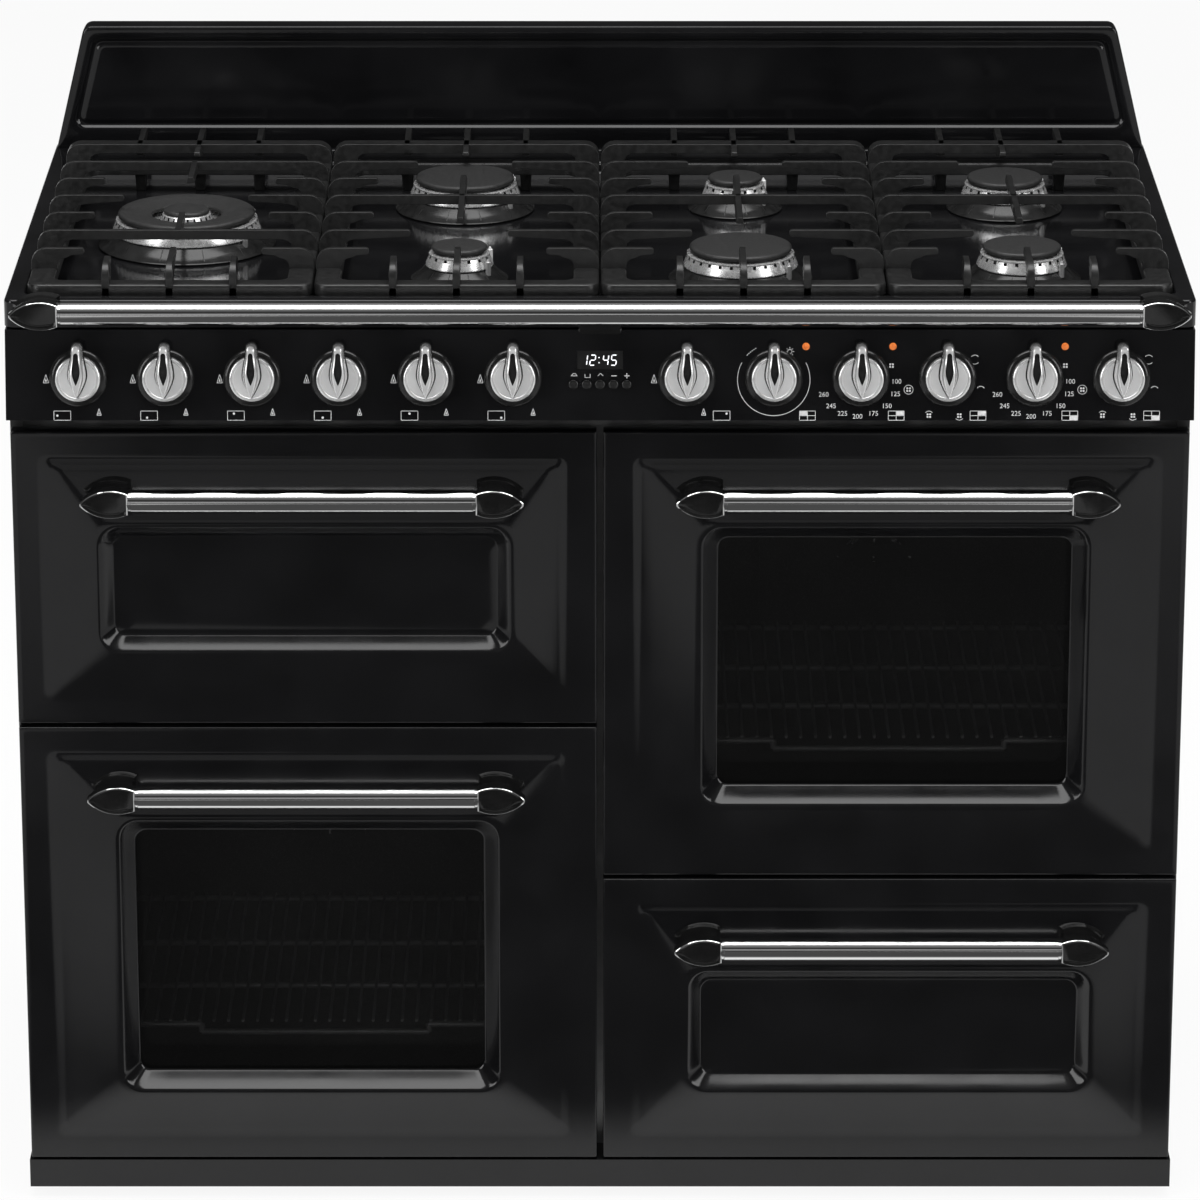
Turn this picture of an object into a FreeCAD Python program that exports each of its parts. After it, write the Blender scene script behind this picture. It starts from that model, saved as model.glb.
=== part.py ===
"""A free-standing range cooker, 1100 mm wide: gas hob with cast iron pan supports over four
drop-down doors (grill, two ovens, storage). Millimetres, +Z up. The origin lies on the floor
under the middle of the outside box; the doors face -Y."""

import FreeCAD, Part
import math
import os
import Sketcher

Vector = FreeCAD.Vector
doc = FreeCAD.newDocument("range_cooker")

# ---------------------------------------------------------------- driving dimensions
DIMENSIONS = {
    # outside
    "overall_width": 1100.0,
    "body_depth": 600.0,
    "hob_height": 900.0,
    "backguard_height": 125.0,
    "foot_height": 11.0,
    "foot_radius": 17.6,
    "foot_stem_radius": 7.0,
    "foot_inset": 60.0,
    "plinth_height": 28.0,
    "sheet": 1.5,
    "flange": 12.0,
    "reveal": 2.0,
    # doors
    "door_gap": 4.0,
    "door_middle_gap": 6.0,
    "small_door_height": 286.5,
    "door_top_gap": 18.5,
    "door_depth": 18.0,
    "frame_margin_side": 28.4,
    "frame_margin_end": 26.0,
    "frame_rise": 16.0,
    "crest_width": 2.0,
    "window_side_margin": 91.5,
    "recess_top_margin": 87.0,
    "recess_bottom_margin": 76.0,
    "recess_radius": 20.0,
    "recess_slope": 14.0,
    "panel_side_margin": 80.0,
    "panel_recess_depth": 13.0,
    "window_recess_depth": 18.0,
    "glass_thickness": 4.0,
    "glass_overlap": 10.0,
    "liner_inset": 14.0,
    "liner_depth": 20.0,
    "liner_bottom": 19.0,
    "liner_window_inset": 8.0,
    # door hinges
    "pivot_back": 6.0,
    "pivot_up": 12.0,
    "hinge_inset": 42.5,
    "hinge_arm_width": 8.0,
    "hinge_eye_radius": 4.0,
    "hinge_pin_radius": 2.0,
    "hinge_ear_width": 4.0,
    "hinge_side_play": 0.5,
    "running_clearance": 0.05,
    "notch_clearance": 2.0,
    # handles and rail
    "bar_radius": 11.0,
    "handle_standoff": 45.0,
    "handle_drop": 54.0,
    "handle_end_margin": 112.0,
    "leaf_half_length": 30.0,
    "leaf_half_height": 13.5,
    "leaf_cut": 16.0,
    "rail_end_margin": 53.0,
    "rail_standoff": 29.0,
    "rail_drop": 5.0,
    "rail_bracket_width": 39.0,
    "rail_bracket_height": 9.0,
    # casing
    "casing_setback": 24.0,
    "frame_setback": 42.0,
    "back_inset": 25.0,
    # ovens and compartments
    "cavity_side_margin": 57.5,
    "cavity_floor": 44.0,
    "cavity_top_margin": 45.0,
    "oven_back_space": 131.5,
    "storage_back_space": 51.5,
    "cavity_radius": 8.0,
    "liner_radius": 12.0,
    "shelf_rail": 6.0,
    "shelf_pitch": 55.0,
    "shelf_levels": 4,
    "shelf_short": 20.0,
    # racks
    "rack_play": 1.5,
    "rack_back_space": 34.0,
    "rack_cross_1": 0.3,
    "rack_cross_2": 0.63,
    "rack_setback": 16.0,
    "rack_level": 70.0,
    "rack_bar_radius": 3.0,
    "rack_wire_radius": 1.5,
    "rack_wire_pitch": 14.0,
    "rack_dip": 8.0,
    "rack_dip_half": 110.0,
    # fans and elements
    "fan_radius": 52.0,
    "fan_hub_radius": 10.0,
    "fan_depth": 16.0,
    "fan_blade": 1.5,
    "fan_blades": 8,
    "fan_gap": 4.0,
    "shaft_radius": 4.0,
    "motor_radius": 38.0,
    "motor_length": 45.0,
    "fan_cover_size": 230.0,
    "cover_slots": 5,
    "cover_slot_length": 78.0,
    "cover_slot_pitch": 18.2,
    "element_radius": 3.25,
    "element_ring": 84.0,
    "grill_loop_pitch": 60.0,
    "grill_loop_front": 100.0,
    "grill_loop_legs": 6,
    "grill_element_drop": 22.0,
    # hob
    "hob_lip": 10.0,
    "hob_rim_height": 26.0,
    "hob_corner": 10.0,
    "hob_edge_radius": 3.0,
    "well_margin": 18.0,
    "well_depth": 6.0,
    "well_radius": 14.0,
    # backguard
    "backguard_depth": 24.0,
    "backguard_side_step": 2.0,
    "backguard_slant": 30.0,
    "backguard_border": 14.0,
    "backguard_recess": 3.0,
    "backguard_corner": 10.0,
    # control panel
    "panel_height": 83.0,
    "panel_bottom_reach": 25.0,
    "panel_tilt": 9.1,
    "display_width": 42.5,
    "display_height": 17.5,
    "display_up": 16.0,
    "display_module": 30.0,
    "button_radius": 4.5,
    "button_pitch": 12.3,
    "button_up": -6.5,
    "button_reach": 3.5,
    "button_length": 9.0,
    "button_travel": 1.5,
    "fit_gap": 0.3,
    "lamp_radius": 3.5,
    "lamp_up": 28.7,
    "lamp_side": 29.7,
    "last_lamp_side": 28.1,
    "lamp_flange_radius": 4.2,
    "window_depth": 1.8,
    "window_setback": 0.5,
    "module_width": 73.8,
    # knobs
    "knob_pitch": 80.2,
    "knob_row": 40.0,
    "knob_skirt_radius": 26.8,
    "knob_skirt_depth": 8.0,
    "knob_disc_radius": 20.8,
    "knob_disc_depth": 8.0,
    "knob_lever_depth": 18.0,
    "knob_gap": 0.6,
    "lever_up": 33.5,
    "lever_down": 16.5,
    "lever_wide": 8.2,
    "lever_tip": 4.5,
    "lever_shoulder": 4.0,
    "spindle_radius": 3.0,
    "spindle_length": 16.0,
    "spindle_hole": 5.0,
    "punch_depth": 6.0,
    "tap_radius": 11.0,
    "tap_length": 20.0,
    "valve_rail_setback": 30.0,
    "valve_rail_half": 22.0,
    "manifold_radius": 8.0,
    "manifold_setback": 48.0,
    "inlet_radius": 10.4775,
    "inlet_length": 18.0,
    "inlet_inset": 60.0,
    # pan supports
    "support_gap": 1.4,
    "support_front": 22.0,
    "support_back": 506.0,
    "support_rail_width": 24.0,
    "support_bar_width": 20.0,
    "support_rail_height": 12.0,
    "support_top": 25.0,
    "finger_width": 9.0,
    "finger_height": 14.0,
    "finger_first": 85.0,
    "finger_pitch": 66.8,
    "long_finger_gap": 46.0,
    "short_finger_gap": 83.0,
    "middle_finger_gap": 60.0,
    "cross_front": 196.0,
    "cross_back": 363.0,
    "end_finger_offset": 59.0,
    "front_finger_side": 58.0,
    "front_finger_middle": 90.0,
    "back_finger_end": 560.0,
    "back_finger_side": 491.0,
    "back_finger_middle": 456.0,
    "stub_front": 218.0,
    "stub_back": 353.0,
    # burners
    "rear_row": 422.0,
    "middle_row": 285.0,
    "front_row": 155.0,
    "wok_cap_radius": 66.0,
    "wok_inner_radius": 22.0,
    "large_cap_radius": 48.5,
    "medium_cap_radius": 37.0,
    "small_cap_radius": 26.5,
    "cap_height": 5.0,
    "cap_top": 10.0,
    "ring_height": 6.0,
    "skirt_height": 6.0,
    "skirt_flare": 14.0,
    "ring_flare": 4.0,
}

sheet = doc.addObject("Spreadsheet::Sheet", "Sizes")
for row, (alias, number) in enumerate(DIMENSIONS.items(), start=1):
    sheet.set(f"A{row}", alias)
    sheet.set(f"B{row}", str(number))
    sheet.setAlias(f"B{row}", alias)
doc.recompute()


class Size:
    """A length that knows its number and the sheet expression that gives it."""

    def __init__(self, number, text):
        self.number = float(number)
        self.text = text

    def __float__(self):
        return self.number

    def __add__(self, other):
        return joined(self, "+", other, self.number + float(other))

    def __radd__(self, other):
        return joined(other, "+", self, float(other) + self.number)

    def __sub__(self, other):
        return joined(self, "-", other, self.number - float(other))

    def __rsub__(self, other):
        return joined(other, "-", self, float(other) - self.number)

    def __mul__(self, other):
        return joined(self, "*", other, self.number * float(other))

    def __rmul__(self, other):
        return joined(other, "*", self, float(other) * self.number)

    def __truediv__(self, other):
        return joined(self, "/", other, self.number / float(other))

    def __neg__(self):
        return joined(0, "-", self, -self.number)


def text_of(value):
    """The expression of a size, or a plain number written for an expression."""
    return value.text if isinstance(value, Size) else f"({float(value)})"


def joined(left, sign, right, number):
    return Size(number, f"({text_of(left)} {sign} {text_of(right)})")


def sine(angle):
    return Size(math.sin(math.radians(float(angle))), f"sin({text_of(angle)} * 1 deg)")


def cosine(angle):
    return Size(math.cos(math.radians(float(angle))), f"cos({text_of(angle)} * 1 deg)")


class Sizes:
    """Every alias of the sheet as a Size."""


for alias in DIMENSIONS:
    setattr(Sizes, alias, Size(sheet.get(alias), f"Sizes.{alias}"))
S = Sizes

# ---------------------------------------------------------------- shape helpers
TURNS = {
    "X": FreeCAD.Rotation(Vector(0, 1, 0), 90),
    "Y": FreeCAD.Rotation(Vector(1, 0, 0), -90),
    "Z": FreeCAD.Rotation(),
}
PLANES = {
    "XY": (FreeCAD.Rotation(), "z", Vector(0, 0, 1)),
    "XZ": (FreeCAD.Rotation(Vector(1, 0, 0), 90), "y", Vector(0, 1, 0)),
    "YZ": (FreeCAD.Rotation(Vector(1, 1, 1), 120), "x", Vector(1, 0, 0)),
}
NODES = {}


def bind(item, **properties):
    """Bind properties of a document object to sizes."""
    for name, value in properties.items():
        item.setExpression(name, text_of(value))


def place(item, x=0, y=0, z=0):
    for axis, value in zip("xyz", (x, y, z)):
        item.setExpression(f"Placement.Base.{axis}", text_of(value))
    return item


def box(name, x, y, z):
    """A block between two values along each axis."""
    item = doc.addObject("Part::Box", name)
    bind(item, Length=x[1] - x[0], Width=y[1] - y[0], Height=z[1] - z[0])
    return place(item, x[0], y[0], z[0])


def rod(name, axis, start, radius, length):
    """A cylinder that runs from start along +axis."""
    item = doc.addObject("Part::Cylinder", name)
    item.Placement = FreeCAD.Placement(Vector(), TURNS[axis])
    bind(item, Radius=radius, Height=length)
    return place(item, *start)


def frustum(name, near, far, x_near, z_near, x_far, z_far):
    """A truncated pyramid whose near face is the one towards -Y."""
    item = doc.addObject("Part::Wedge", name)
    bind(item, Ymin=near, Ymax=far, Xmin=x_near[0], Xmax=x_near[1], Zmin=z_near[0])
    bind(item, Zmax=z_near[1], X2min=x_far[0], X2max=x_far[1], Z2min=z_far[0], Z2max=z_far[1])
    return item


def fuse(name, shapes):
    item = doc.addObject("Part::MultiFuse", name)
    item.Shapes = shapes
    return item


def cut(name, base, tools):
    """base without tools; several tools are joined first."""
    item = doc.addObject("Part::Cut", name)
    item.Base = base
    item.Tool = tools[0] if len(tools) == 1 else fuse(f"{name}_tools", tools)
    return item


def common(name, shapes):
    item = doc.addObject("Part::MultiCommon", name)
    item.Shapes = shapes
    return item


def group(name, shapes):
    """Separate solids kept together in one node."""
    item = doc.addObject("Part::Compound", name)
    item.Links = shapes
    return item


def node(name, item):
    """Give a finished piece its name."""
    item.Label = name
    NODES[name] = item
    return item


def constrain(sketch, kind, value, *where):
    """Add a driving dimension to a sketch and bind it."""
    index = sketch.addConstraint(Sketcher.Constraint(kind, *where, float(value)))
    sketch.setExpression(f"Constraints[{index}]", text_of(value))


def draw_polygon(sketch, points):
    """A closed outline whose corners are all bound to sizes."""
    first = sketch.GeometryCount
    corners = [Vector(float(u), float(v), 0) for u, v in points]
    count = len(points)
    for k in range(count):
        sketch.addGeometry(Part.LineSegment(corners[k], corners[(k + 1) % count]), False)
    for k in range(count):
        follower = first + (k + 1) % count
        sketch.addConstraint(Sketcher.Constraint("Coincident", first + k, 2, follower, 1))
    for k, (u, v) in enumerate(points):
        constrain(sketch, "DistanceX", u, -1, 1, first + k, 1)
        constrain(sketch, "DistanceY", v, -1, 1, first + k, 1)


def draw_rounded(sketch, u, v, radius):
    """A rectangle with rounded corners between u[0], u[1] and v[0], v[1]."""
    r = float(radius)
    centres = [
        (u[1] - radius, v[0] + radius, -90),
        (u[1] - radius, v[1] - radius, 0),
        (u[0] + radius, v[1] - radius, 90),
        (u[0] + radius, v[0] + radius, 180),
    ]

    def on_arc(centre, degrees):
        angle = math.radians(degrees)
        x, y = float(centre[0]), float(centre[1])
        return Vector(x + r * math.cos(angle), y + r * math.sin(angle), 0)

    arcs = []
    for centre in centres:
        circle = Part.Circle(Vector(float(centre[0]), float(centre[1]), 0), Vector(0, 0, 1), r)
        start = math.radians(centre[2])
        arc = Part.ArcOfCircle(circle, start, start + math.pi / 2)
        arcs.append(sketch.addGeometry(arc, False))
    for k, centre in enumerate(centres):
        follower = (k + 1) % 4
        start = on_arc(centre, centre[2] + 90)
        end = on_arc(centres[follower], centres[follower][2])
        line = sketch.addGeometry(Part.LineSegment(start, end), False)
        sketch.addConstraint(Sketcher.Constraint("Tangent", arcs[k], 2, line, 1))
        sketch.addConstraint(Sketcher.Constraint("Tangent", line, 2, arcs[follower], 1))
    for arc, centre in zip(arcs, centres):
        constrain(sketch, "DistanceX", centre[0], -1, 1, arc, 3)
        constrain(sketch, "DistanceY", centre[1], -1, 1, arc, 3)
        constrain(sketch, "Radius", radius, arc)


def outline(name, plane, offset, draw, *sizes):
    """A sketch on a plane at right angles to one axis, offset along it."""
    turn, axis, _ = PLANES[plane]
    sketch = doc.addObject("Sketcher::SketchObject", name)
    sketch.Placement = FreeCAD.Placement(Vector(), turn)
    sketch.setExpression(f"Placement.Base.{axis}", text_of(offset))
    draw(sketch, *sizes)
    return sketch


def extrusion(name, plane, start, stop, draw, *sizes):
    """An outline drawn out from start to stop."""
    item = doc.addObject("Part::Extrusion", name)
    item.Base = outline(f"{name}_outline", plane, start, draw, *sizes)
    item.DirMode = "Custom"
    item.Dir = PLANES[plane][2]
    item.Solid = True
    bind(item, LengthFwd=stop - start)
    return item


def tapered(name, near, far, x_near, z_near, x_far, z_far, radius):
    """A block with rounded corners whose front and back outlines differ."""
    item = doc.addObject("Part::Loft", name)
    item.Sections = [
        outline(f"{name}_front", "XZ", near, draw_rounded, x_near, z_near, radius),
        outline(f"{name}_back", "XZ", far, draw_rounded, x_far, z_far, radius),
    ]
    item.Solid = True
    item.Ruled = True
    return item


def body_sketch(body, name, role):
    """A sketch on one of a body's own origin planes."""
    sketch = body.newObject("Sketcher::SketchObject", name)
    planes = [part for part in body.Origin.OriginFeatures if part.Role == role]
    sketch.AttachmentSupport = [(planes[0], "")]
    sketch.MapMode = "FlatFace"
    return sketch


def turned(name, points, position=(0, 0, 0), axis="Z"):
    """A body turned about an axis; points are (radius, height) pairs."""
    body = doc.addObject("PartDesign::Body", name)
    sketch = body_sketch(body, f"{name}_section", "XZ_Plane")
    draw_polygon(sketch, points)
    turn = body.newObject("PartDesign::Revolution", f"{name}_turned")
    turn.Profile = sketch
    turn.ReferenceAxis = (sketch, ["V_Axis"])
    turn.Angle = 360
    body.Placement = FreeCAD.Placement(Vector(), TURNS[axis])
    return place(body, *position)


# ---------------------------------------------------------------- places shared by the pieces
HALF_WIDTH = S.overall_width / 2
REACH = S.handle_standoff + S.bar_radius
FRONT = (REACH - S.body_depth) / 2
BACK = FRONT + S.body_depth
PLINTH_TOP = S.foot_height + S.plinth_height
DOOR_BOTTOM = PLINTH_TOP + S.reveal
DOOR_WIDTH = HALF_WIDTH - S.door_middle_gap / 2 - S.reveal
DOOR_MIDDLE = (S.door_middle_gap + DOOR_WIDTH) / 2
CASING_FRONT = FRONT + S.casing_setback
FRAME_FRONT = FRONT + S.frame_setback
FRAME_BACK = FRAME_FRONT + S.sheet
BACK_PANEL = BACK - S.back_inset
HOB_BASE = S.hob_height - S.hob_rim_height
HOB_FRONT = FRONT - S.hob_lip
WELL_FLOOR = S.hob_height - S.well_depth
PANEL_TOP = HOB_BASE - S.reveal
PANEL_BOTTOM = PANEL_TOP - S.panel_height
DOOR_TOP = PANEL_BOTTOM - S.door_top_gap
LARGE_DOOR_HEIGHT = DOOR_TOP - DOOR_BOTTOM - S.small_door_height - S.door_gap
WINDOW_WIDTH = DOOR_WIDTH - S.window_side_margin * 2
HANDLE_BAR_LENGTH = DOOR_WIDTH - S.handle_end_margin * 2
CAVITY_WIDTH = DOOR_WIDTH - S.cavity_side_margin * 2
CAVITY_DEPTH = BACK_PANEL - S.oven_back_space - FRAME_BACK
CAVITY_BACK = FRAME_BACK + CAVITY_DEPTH
STORAGE_DEPTH = BACK_PANEL - S.storage_back_space - FRAME_BACK
RACK_DEPTH = CAVITY_DEPTH - S.rack_setback - S.rack_back_space
SUPPORT_PITCH = (S.overall_width - S.well_margin * 2) / 4
SUPPORT_WIDTH = SUPPORT_PITCH - S.support_gap


def around(middle, length):
    return (middle - length / 2, middle + length / 2)


def grown(span, amount):
    return (span[0] - amount, span[1] + amount)


# ---------------------------------------------------------------- casing
def base_and_plinth():
    """The plinth strip and floor tray as one folded tray, standing on four feet."""
    shell = box("base_block", (-HALF_WIDTH, HALF_WIDTH), (FRONT, BACK), (S.foot_height, PLINTH_TOP))
    hollow = box(
        "base_hollow",
        grown((-HALF_WIDTH, HALF_WIDTH), -S.sheet),
        grown((FRONT, BACK), -S.sheet),
        (S.foot_height, PLINTH_TOP - S.sheet),
    )
    tray = cut("base_tray", shell, [hollow])
    feet = []
    for side in (-1, 1):
        for depth in (FRONT + S.foot_inset, BACK - S.foot_inset):
            profile = [
                (0, 0),
                (S.foot_radius, 0),
                (S.foot_radius, S.foot_height / 3),
                (S.foot_stem_radius, S.foot_height * 2 / 3),
                (S.foot_stem_radius, PLINTH_TOP - S.sheet),
                (0, PLINTH_TOP - S.sheet),
            ]
            x = side * (HALF_WIDTH - S.foot_inset)
            feet.append(turned(f"foot_{len(feet) + 1}", profile, (x, depth, 0)))
    node("base_plinth", fuse("base_and_feet", [tray] + feet))


def side_panels():
    """Two side sheets with folded front and rear flanges."""
    panels = []
    for side, name in ((-1, "left"), (1, "right")):
        outer = HALF_WIDTH * side
        inner = (HALF_WIDTH - S.sheet) * side
        lip = (HALF_WIDTH - S.flange) * side
        profile = [
            (outer, CASING_FRONT),
            (outer, BACK),
            (lip, BACK),
            (lip, BACK - S.sheet),
            (inner, BACK - S.sheet),
            (inner, CASING_FRONT + S.sheet),
            (lip, CASING_FRONT + S.sheet),
            (lip, CASING_FRONT),
        ]
        span = (PLINTH_TOP, HOB_BASE)
        panels.append(extrusion(f"{name}_side", "XY", *span, draw_polygon, profile))
    node("side_panels", group("side_pair", panels))


def back_panel():
    """The rear sheet, set in so that the gas inlet stays inside the depth."""
    width = grown((-HALF_WIDTH, HALF_WIDTH), -S.sheet)
    plate = box("back_sheet", width, (BACK_PANEL - S.sheet, BACK_PANEL), (PLINTH_TOP, HOB_BASE))
    hole_start = (INLET_X, BACK_PANEL - S.sheet, INLET_Z)
    hole = rod("inlet_hole", "Y", hole_start, S.manifold_radius + S.fit_gap, S.sheet)
    node("back_panel", cut("back_with_hole", plate, [hole]))


# ---------------------------------------------------------------- doors
def door_spans(side, lower, height):
    """Where a door lies: its middle, its x span and its z span."""
    middle = DOOR_MIDDLE * side
    return middle, around(middle, DOOR_WIDTH), (lower, lower + height)


def hinge_places(middle):
    """The two hinges of a door: the arm's middle and the side its pin points to."""
    reach = DOOR_WIDTH / 2 - S.hinge_inset
    return [(middle - reach, 1), (middle + reach, -1)]


def door_panel(name, side, lower, height, windowed):
    """The pressed outer sheet: a raised frame with mitred slopes round a sunken field."""
    middle, x, z = door_spans(side, lower, height)
    x_frame = grown(x, -S.frame_margin_side)
    z_frame = grown(z, -S.frame_margin_end)
    width = WINDOW_WIDTH if windowed else DOOR_WIDTH - S.panel_side_margin * 2
    depth = S.window_recess_depth if windowed else S.panel_recess_depth
    x_mouth = around(middle, width)
    z_mouth = (z[0] + S.recess_bottom_margin, z[1] - S.recess_top_margin)
    crest = FRONT - S.frame_rise
    x_crest = grown(x_mouth, S.crest_width)
    z_crest = grown(z_mouth, S.crest_width)
    floor = crest + depth

    plate = box(f"{name}_plate", x, (FRONT, FRONT + S.door_depth), z)
    rise = frustum(f"{name}_rise", crest, FRONT, x_crest, z_crest, x_frame, z_frame)
    outside = fuse(f"{name}_outside", [plate, rise])

    hollow_plate = box(
        f"{name}_hollow_plate",
        grown(x, -S.sheet),
        (FRONT + S.sheet, FRONT + S.door_depth),
        grown(z, -S.sheet),
    )
    hollow_rise = frustum(
        f"{name}_hollow_rise", crest + S.sheet, FRONT + S.sheet, x_crest, z_crest, x_frame, z_frame
    )
    inside = fuse(f"{name}_inside", [hollow_plate, hollow_rise])

    def sunken(label, growth, back):
        inset = S.recess_slope - growth
        return tapered(
            f"{name}_{label}",
            crest,
            back,
            grown(x_mouth, growth),
            grown(z_mouth, growth),
            grown(x_mouth, -inset),
            grown(z_mouth, -inset),
            S.recess_radius,
        )

    dish = sunken("dish", S.sheet, floor if windowed else floor + S.sheet)
    field = sunken("field", S.sheet * 0, floor)
    hollow = cut(f"{name}_hollow", inside, [dish])
    notches = [
        box(
            f"{name}_notch_{k}",
            around(place_x, S.hinge_arm_width + S.notch_clearance * 2),
            (FRONT + S.sheet, FRONT + S.door_depth),
            (z[0], z[0] + S.sheet),
        )
        for k, (place_x, _) in enumerate(hinge_places(middle))
    ]
    node(f"{name}_door_panel", cut(f"{name}_pressing", outside, [hollow, field] + notches))
    return outside


def door_liner(name, side, lower, height, windowed):
    """The inner tray of a door, with an ear for each hinge pin."""
    middle, x, z = door_spans(side, lower, height)
    x_liner = grown(x, -S.liner_inset)
    z_liner = (z[0] + S.liner_bottom, z[1] - S.liner_inset)
    start = FRONT + S.door_depth
    stop = start + S.liner_depth
    tray = extrusion(f"{name}_tray", "XZ", start, stop, draw_rounded, x_liner, z_liner, S.liner_radius)
    hollow = extrusion(
        f"{name}_tray_hollow",
        "XZ",
        start,
        stop - S.sheet,
        draw_rounded,
        grown(x_liner, -S.sheet),
        grown(z_liner, -S.sheet),
        S.liner_radius - S.sheet,
    )
    tools = [hollow]
    if windowed:
        x_window = grown(around(middle, WINDOW_WIDTH), -S.recess_slope + S.liner_window_inset)
        z_window = (z[0] + S.recess_bottom_margin, z[1] - S.recess_top_margin)
        tools.append(
            extrusion(
                f"{name}_liner_window",
                "XZ",
                stop - S.sheet * 2,
                stop,
                draw_rounded,
                x_window,
                z_window,
                S.recess_radius,
            )
        )
    tray = cut(f"{name}_tray_shell", tray, tools)
    pivot_y = FRONT + S.pivot_back
    pivot_z = z[0] + S.pivot_up
    ears = []
    for k, (place_x, side_of_pin) in enumerate(hinge_places(middle)):
        near = place_x + side_of_pin * (S.hinge_arm_width / 2 + S.hinge_side_play)
        far = near + side_of_pin * S.hinge_ear_width
        x_ear = (near, far) if side_of_pin > 0 else (far, near)
        pivot = (x_ear[0], pivot_y, pivot_z)
        eye = rod(f"{name}_eye_{k}", "X", pivot, S.hinge_eye_radius, S.hinge_ear_width)
        web = extrusion(
            f"{name}_web_{k}",
            "YZ",
            x_ear[0],
            x_ear[1],
            draw_polygon,
            [
                (pivot_y, pivot_z - S.hinge_eye_radius),
                (start + S.flange, z_liner[0]),
                (start, z_liner[0] + S.sheet),
                (start, pivot_z + S.hinge_eye_radius),
                (pivot_y, pivot_z + S.hinge_eye_radius),
            ],
        )
        bore = rod(
            f"{name}_bore_{k}",
            "X",
            pivot,
            S.hinge_pin_radius + S.running_clearance,
            S.hinge_ear_width,
        )
        ears.append(cut(f"{name}_ear_{k}", fuse(f"{name}_ear_blank_{k}", [eye, web]), [bore]))
    node(f"{name}_door_liner", fuse(f"{name}_liner", [tray] + ears))


def door_glass(name, side, lower, height):
    """The outer and inner panes of an oven door."""
    middle, _, z = door_spans(side, lower, height)
    x_mouth = around(middle, WINDOW_WIDTH)
    z_mouth = (z[0] + S.recess_bottom_margin, z[1] - S.recess_top_margin)
    outer_start = FRONT - S.frame_rise + S.window_recess_depth
    inner_stop = FRONT + S.door_depth + S.liner_depth - S.sheet
    panes = []
    for label, start, inset in (
        ("outer", outer_start, S.recess_slope - S.glass_overlap),
        ("inner", inner_stop - S.glass_thickness, -S.glass_overlap),
    ):
        panes.append(
            extrusion(
                f"{name}_{label}_pane",
                "XZ",
                start,
                start + S.glass_thickness,
                draw_rounded,
                grown(x_mouth, -inset),
                grown(z_mouth, -inset),
                S.recess_radius,
            )
        )
    node(f"{name}_door_glass", group(f"{name}_panes", panes))


def leaf(name, x, side, y, z):
    """A pointed end block of a bar, seen from the front as half a leaf; it points to side."""
    rise = S.leaf_half_height
    run = S.leaf_half_length
    arc_radius = (run * run + rise * rise) / (2 * rise)
    centre = x + side * S.leaf_cut
    depth = y[1] - y[0]
    lower = rod(f"{name}_under", "Y", (centre, y[0], z + arc_radius - rise), arc_radius, depth)
    upper = rod(f"{name}_over", "Y", (centre, y[0], z - arc_radius + rise), arc_radius, depth)
    reach = S.leaf_cut + run
    span = (x, x + reach) if side > 0 else (x - reach, x)
    field = box(f"{name}_field", span, y, (z - rise, z + rise))
    return common(name, [lower, upper, field])


def door_handle(name, side, lower, height, outside):
    """A bar with two leaf-shaped end blocks that stand on the door's raised frame."""
    middle, _, z = door_spans(side, lower, height)
    level = z[1] - S.handle_drop
    axis_y = FRONT - S.handle_standoff
    half = HANDLE_BAR_LENGTH / 2
    bar = rod(f"{name}_bar", "X", (middle - half, axis_y, level), S.bar_radius, HANDLE_BAR_LENGTH)
    depth = (axis_y - S.bar_radius, FRONT)
    ends = [
        leaf(f"{name}_{label}_leaf", middle + direction * half, direction, depth, level)
        for label, direction in (("left", -1), ("right", 1))
    ]
    blank = fuse(f"{name}_handle_blank", [bar] + ends)
    node(f"{name}_door_handle", cut(f"{name}_handle", blank, [outside]))


DOORS = [
    ("grill", -1, DOOR_BOTTOM + LARGE_DOOR_HEIGHT + S.door_gap, S.small_door_height, False),
    ("left_oven", -1, DOOR_BOTTOM, LARGE_DOOR_HEIGHT, True),
    ("right_oven", 1, DOOR_BOTTOM + S.small_door_height + S.door_gap, LARGE_DOOR_HEIGHT, True),
    ("storage", 1, DOOR_BOTTOM, S.small_door_height, False),
]


def doors():
    for name, side, lower, height, windowed in DOORS:
        outside = door_panel(name, side, lower, height, windowed)
        door_liner(name, side, lower, height, windowed)
        if windowed:
            door_glass(name, side, lower, height)
        door_handle(name, side, lower, height, outside)


# ---------------------------------------------------------------- front frame and cavities
CAVITIES = {
    "grill": CAVITY_DEPTH,
    "left_oven": CAVITY_DEPTH,
    "right_oven": CAVITY_DEPTH,
    "storage": STORAGE_DEPTH,
}
OVENS = ("left_oven", "right_oven")


def cavity_spans(name):
    """The inside of a cavity behind its door: x span, z span."""
    side, lower, height = {door[0]: door[1:4] for door in DOORS}[name]
    return (
        around(DOOR_MIDDLE * side, CAVITY_WIDTH),
        (lower + S.cavity_floor, lower + height - S.cavity_top_margin),
    )


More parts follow.
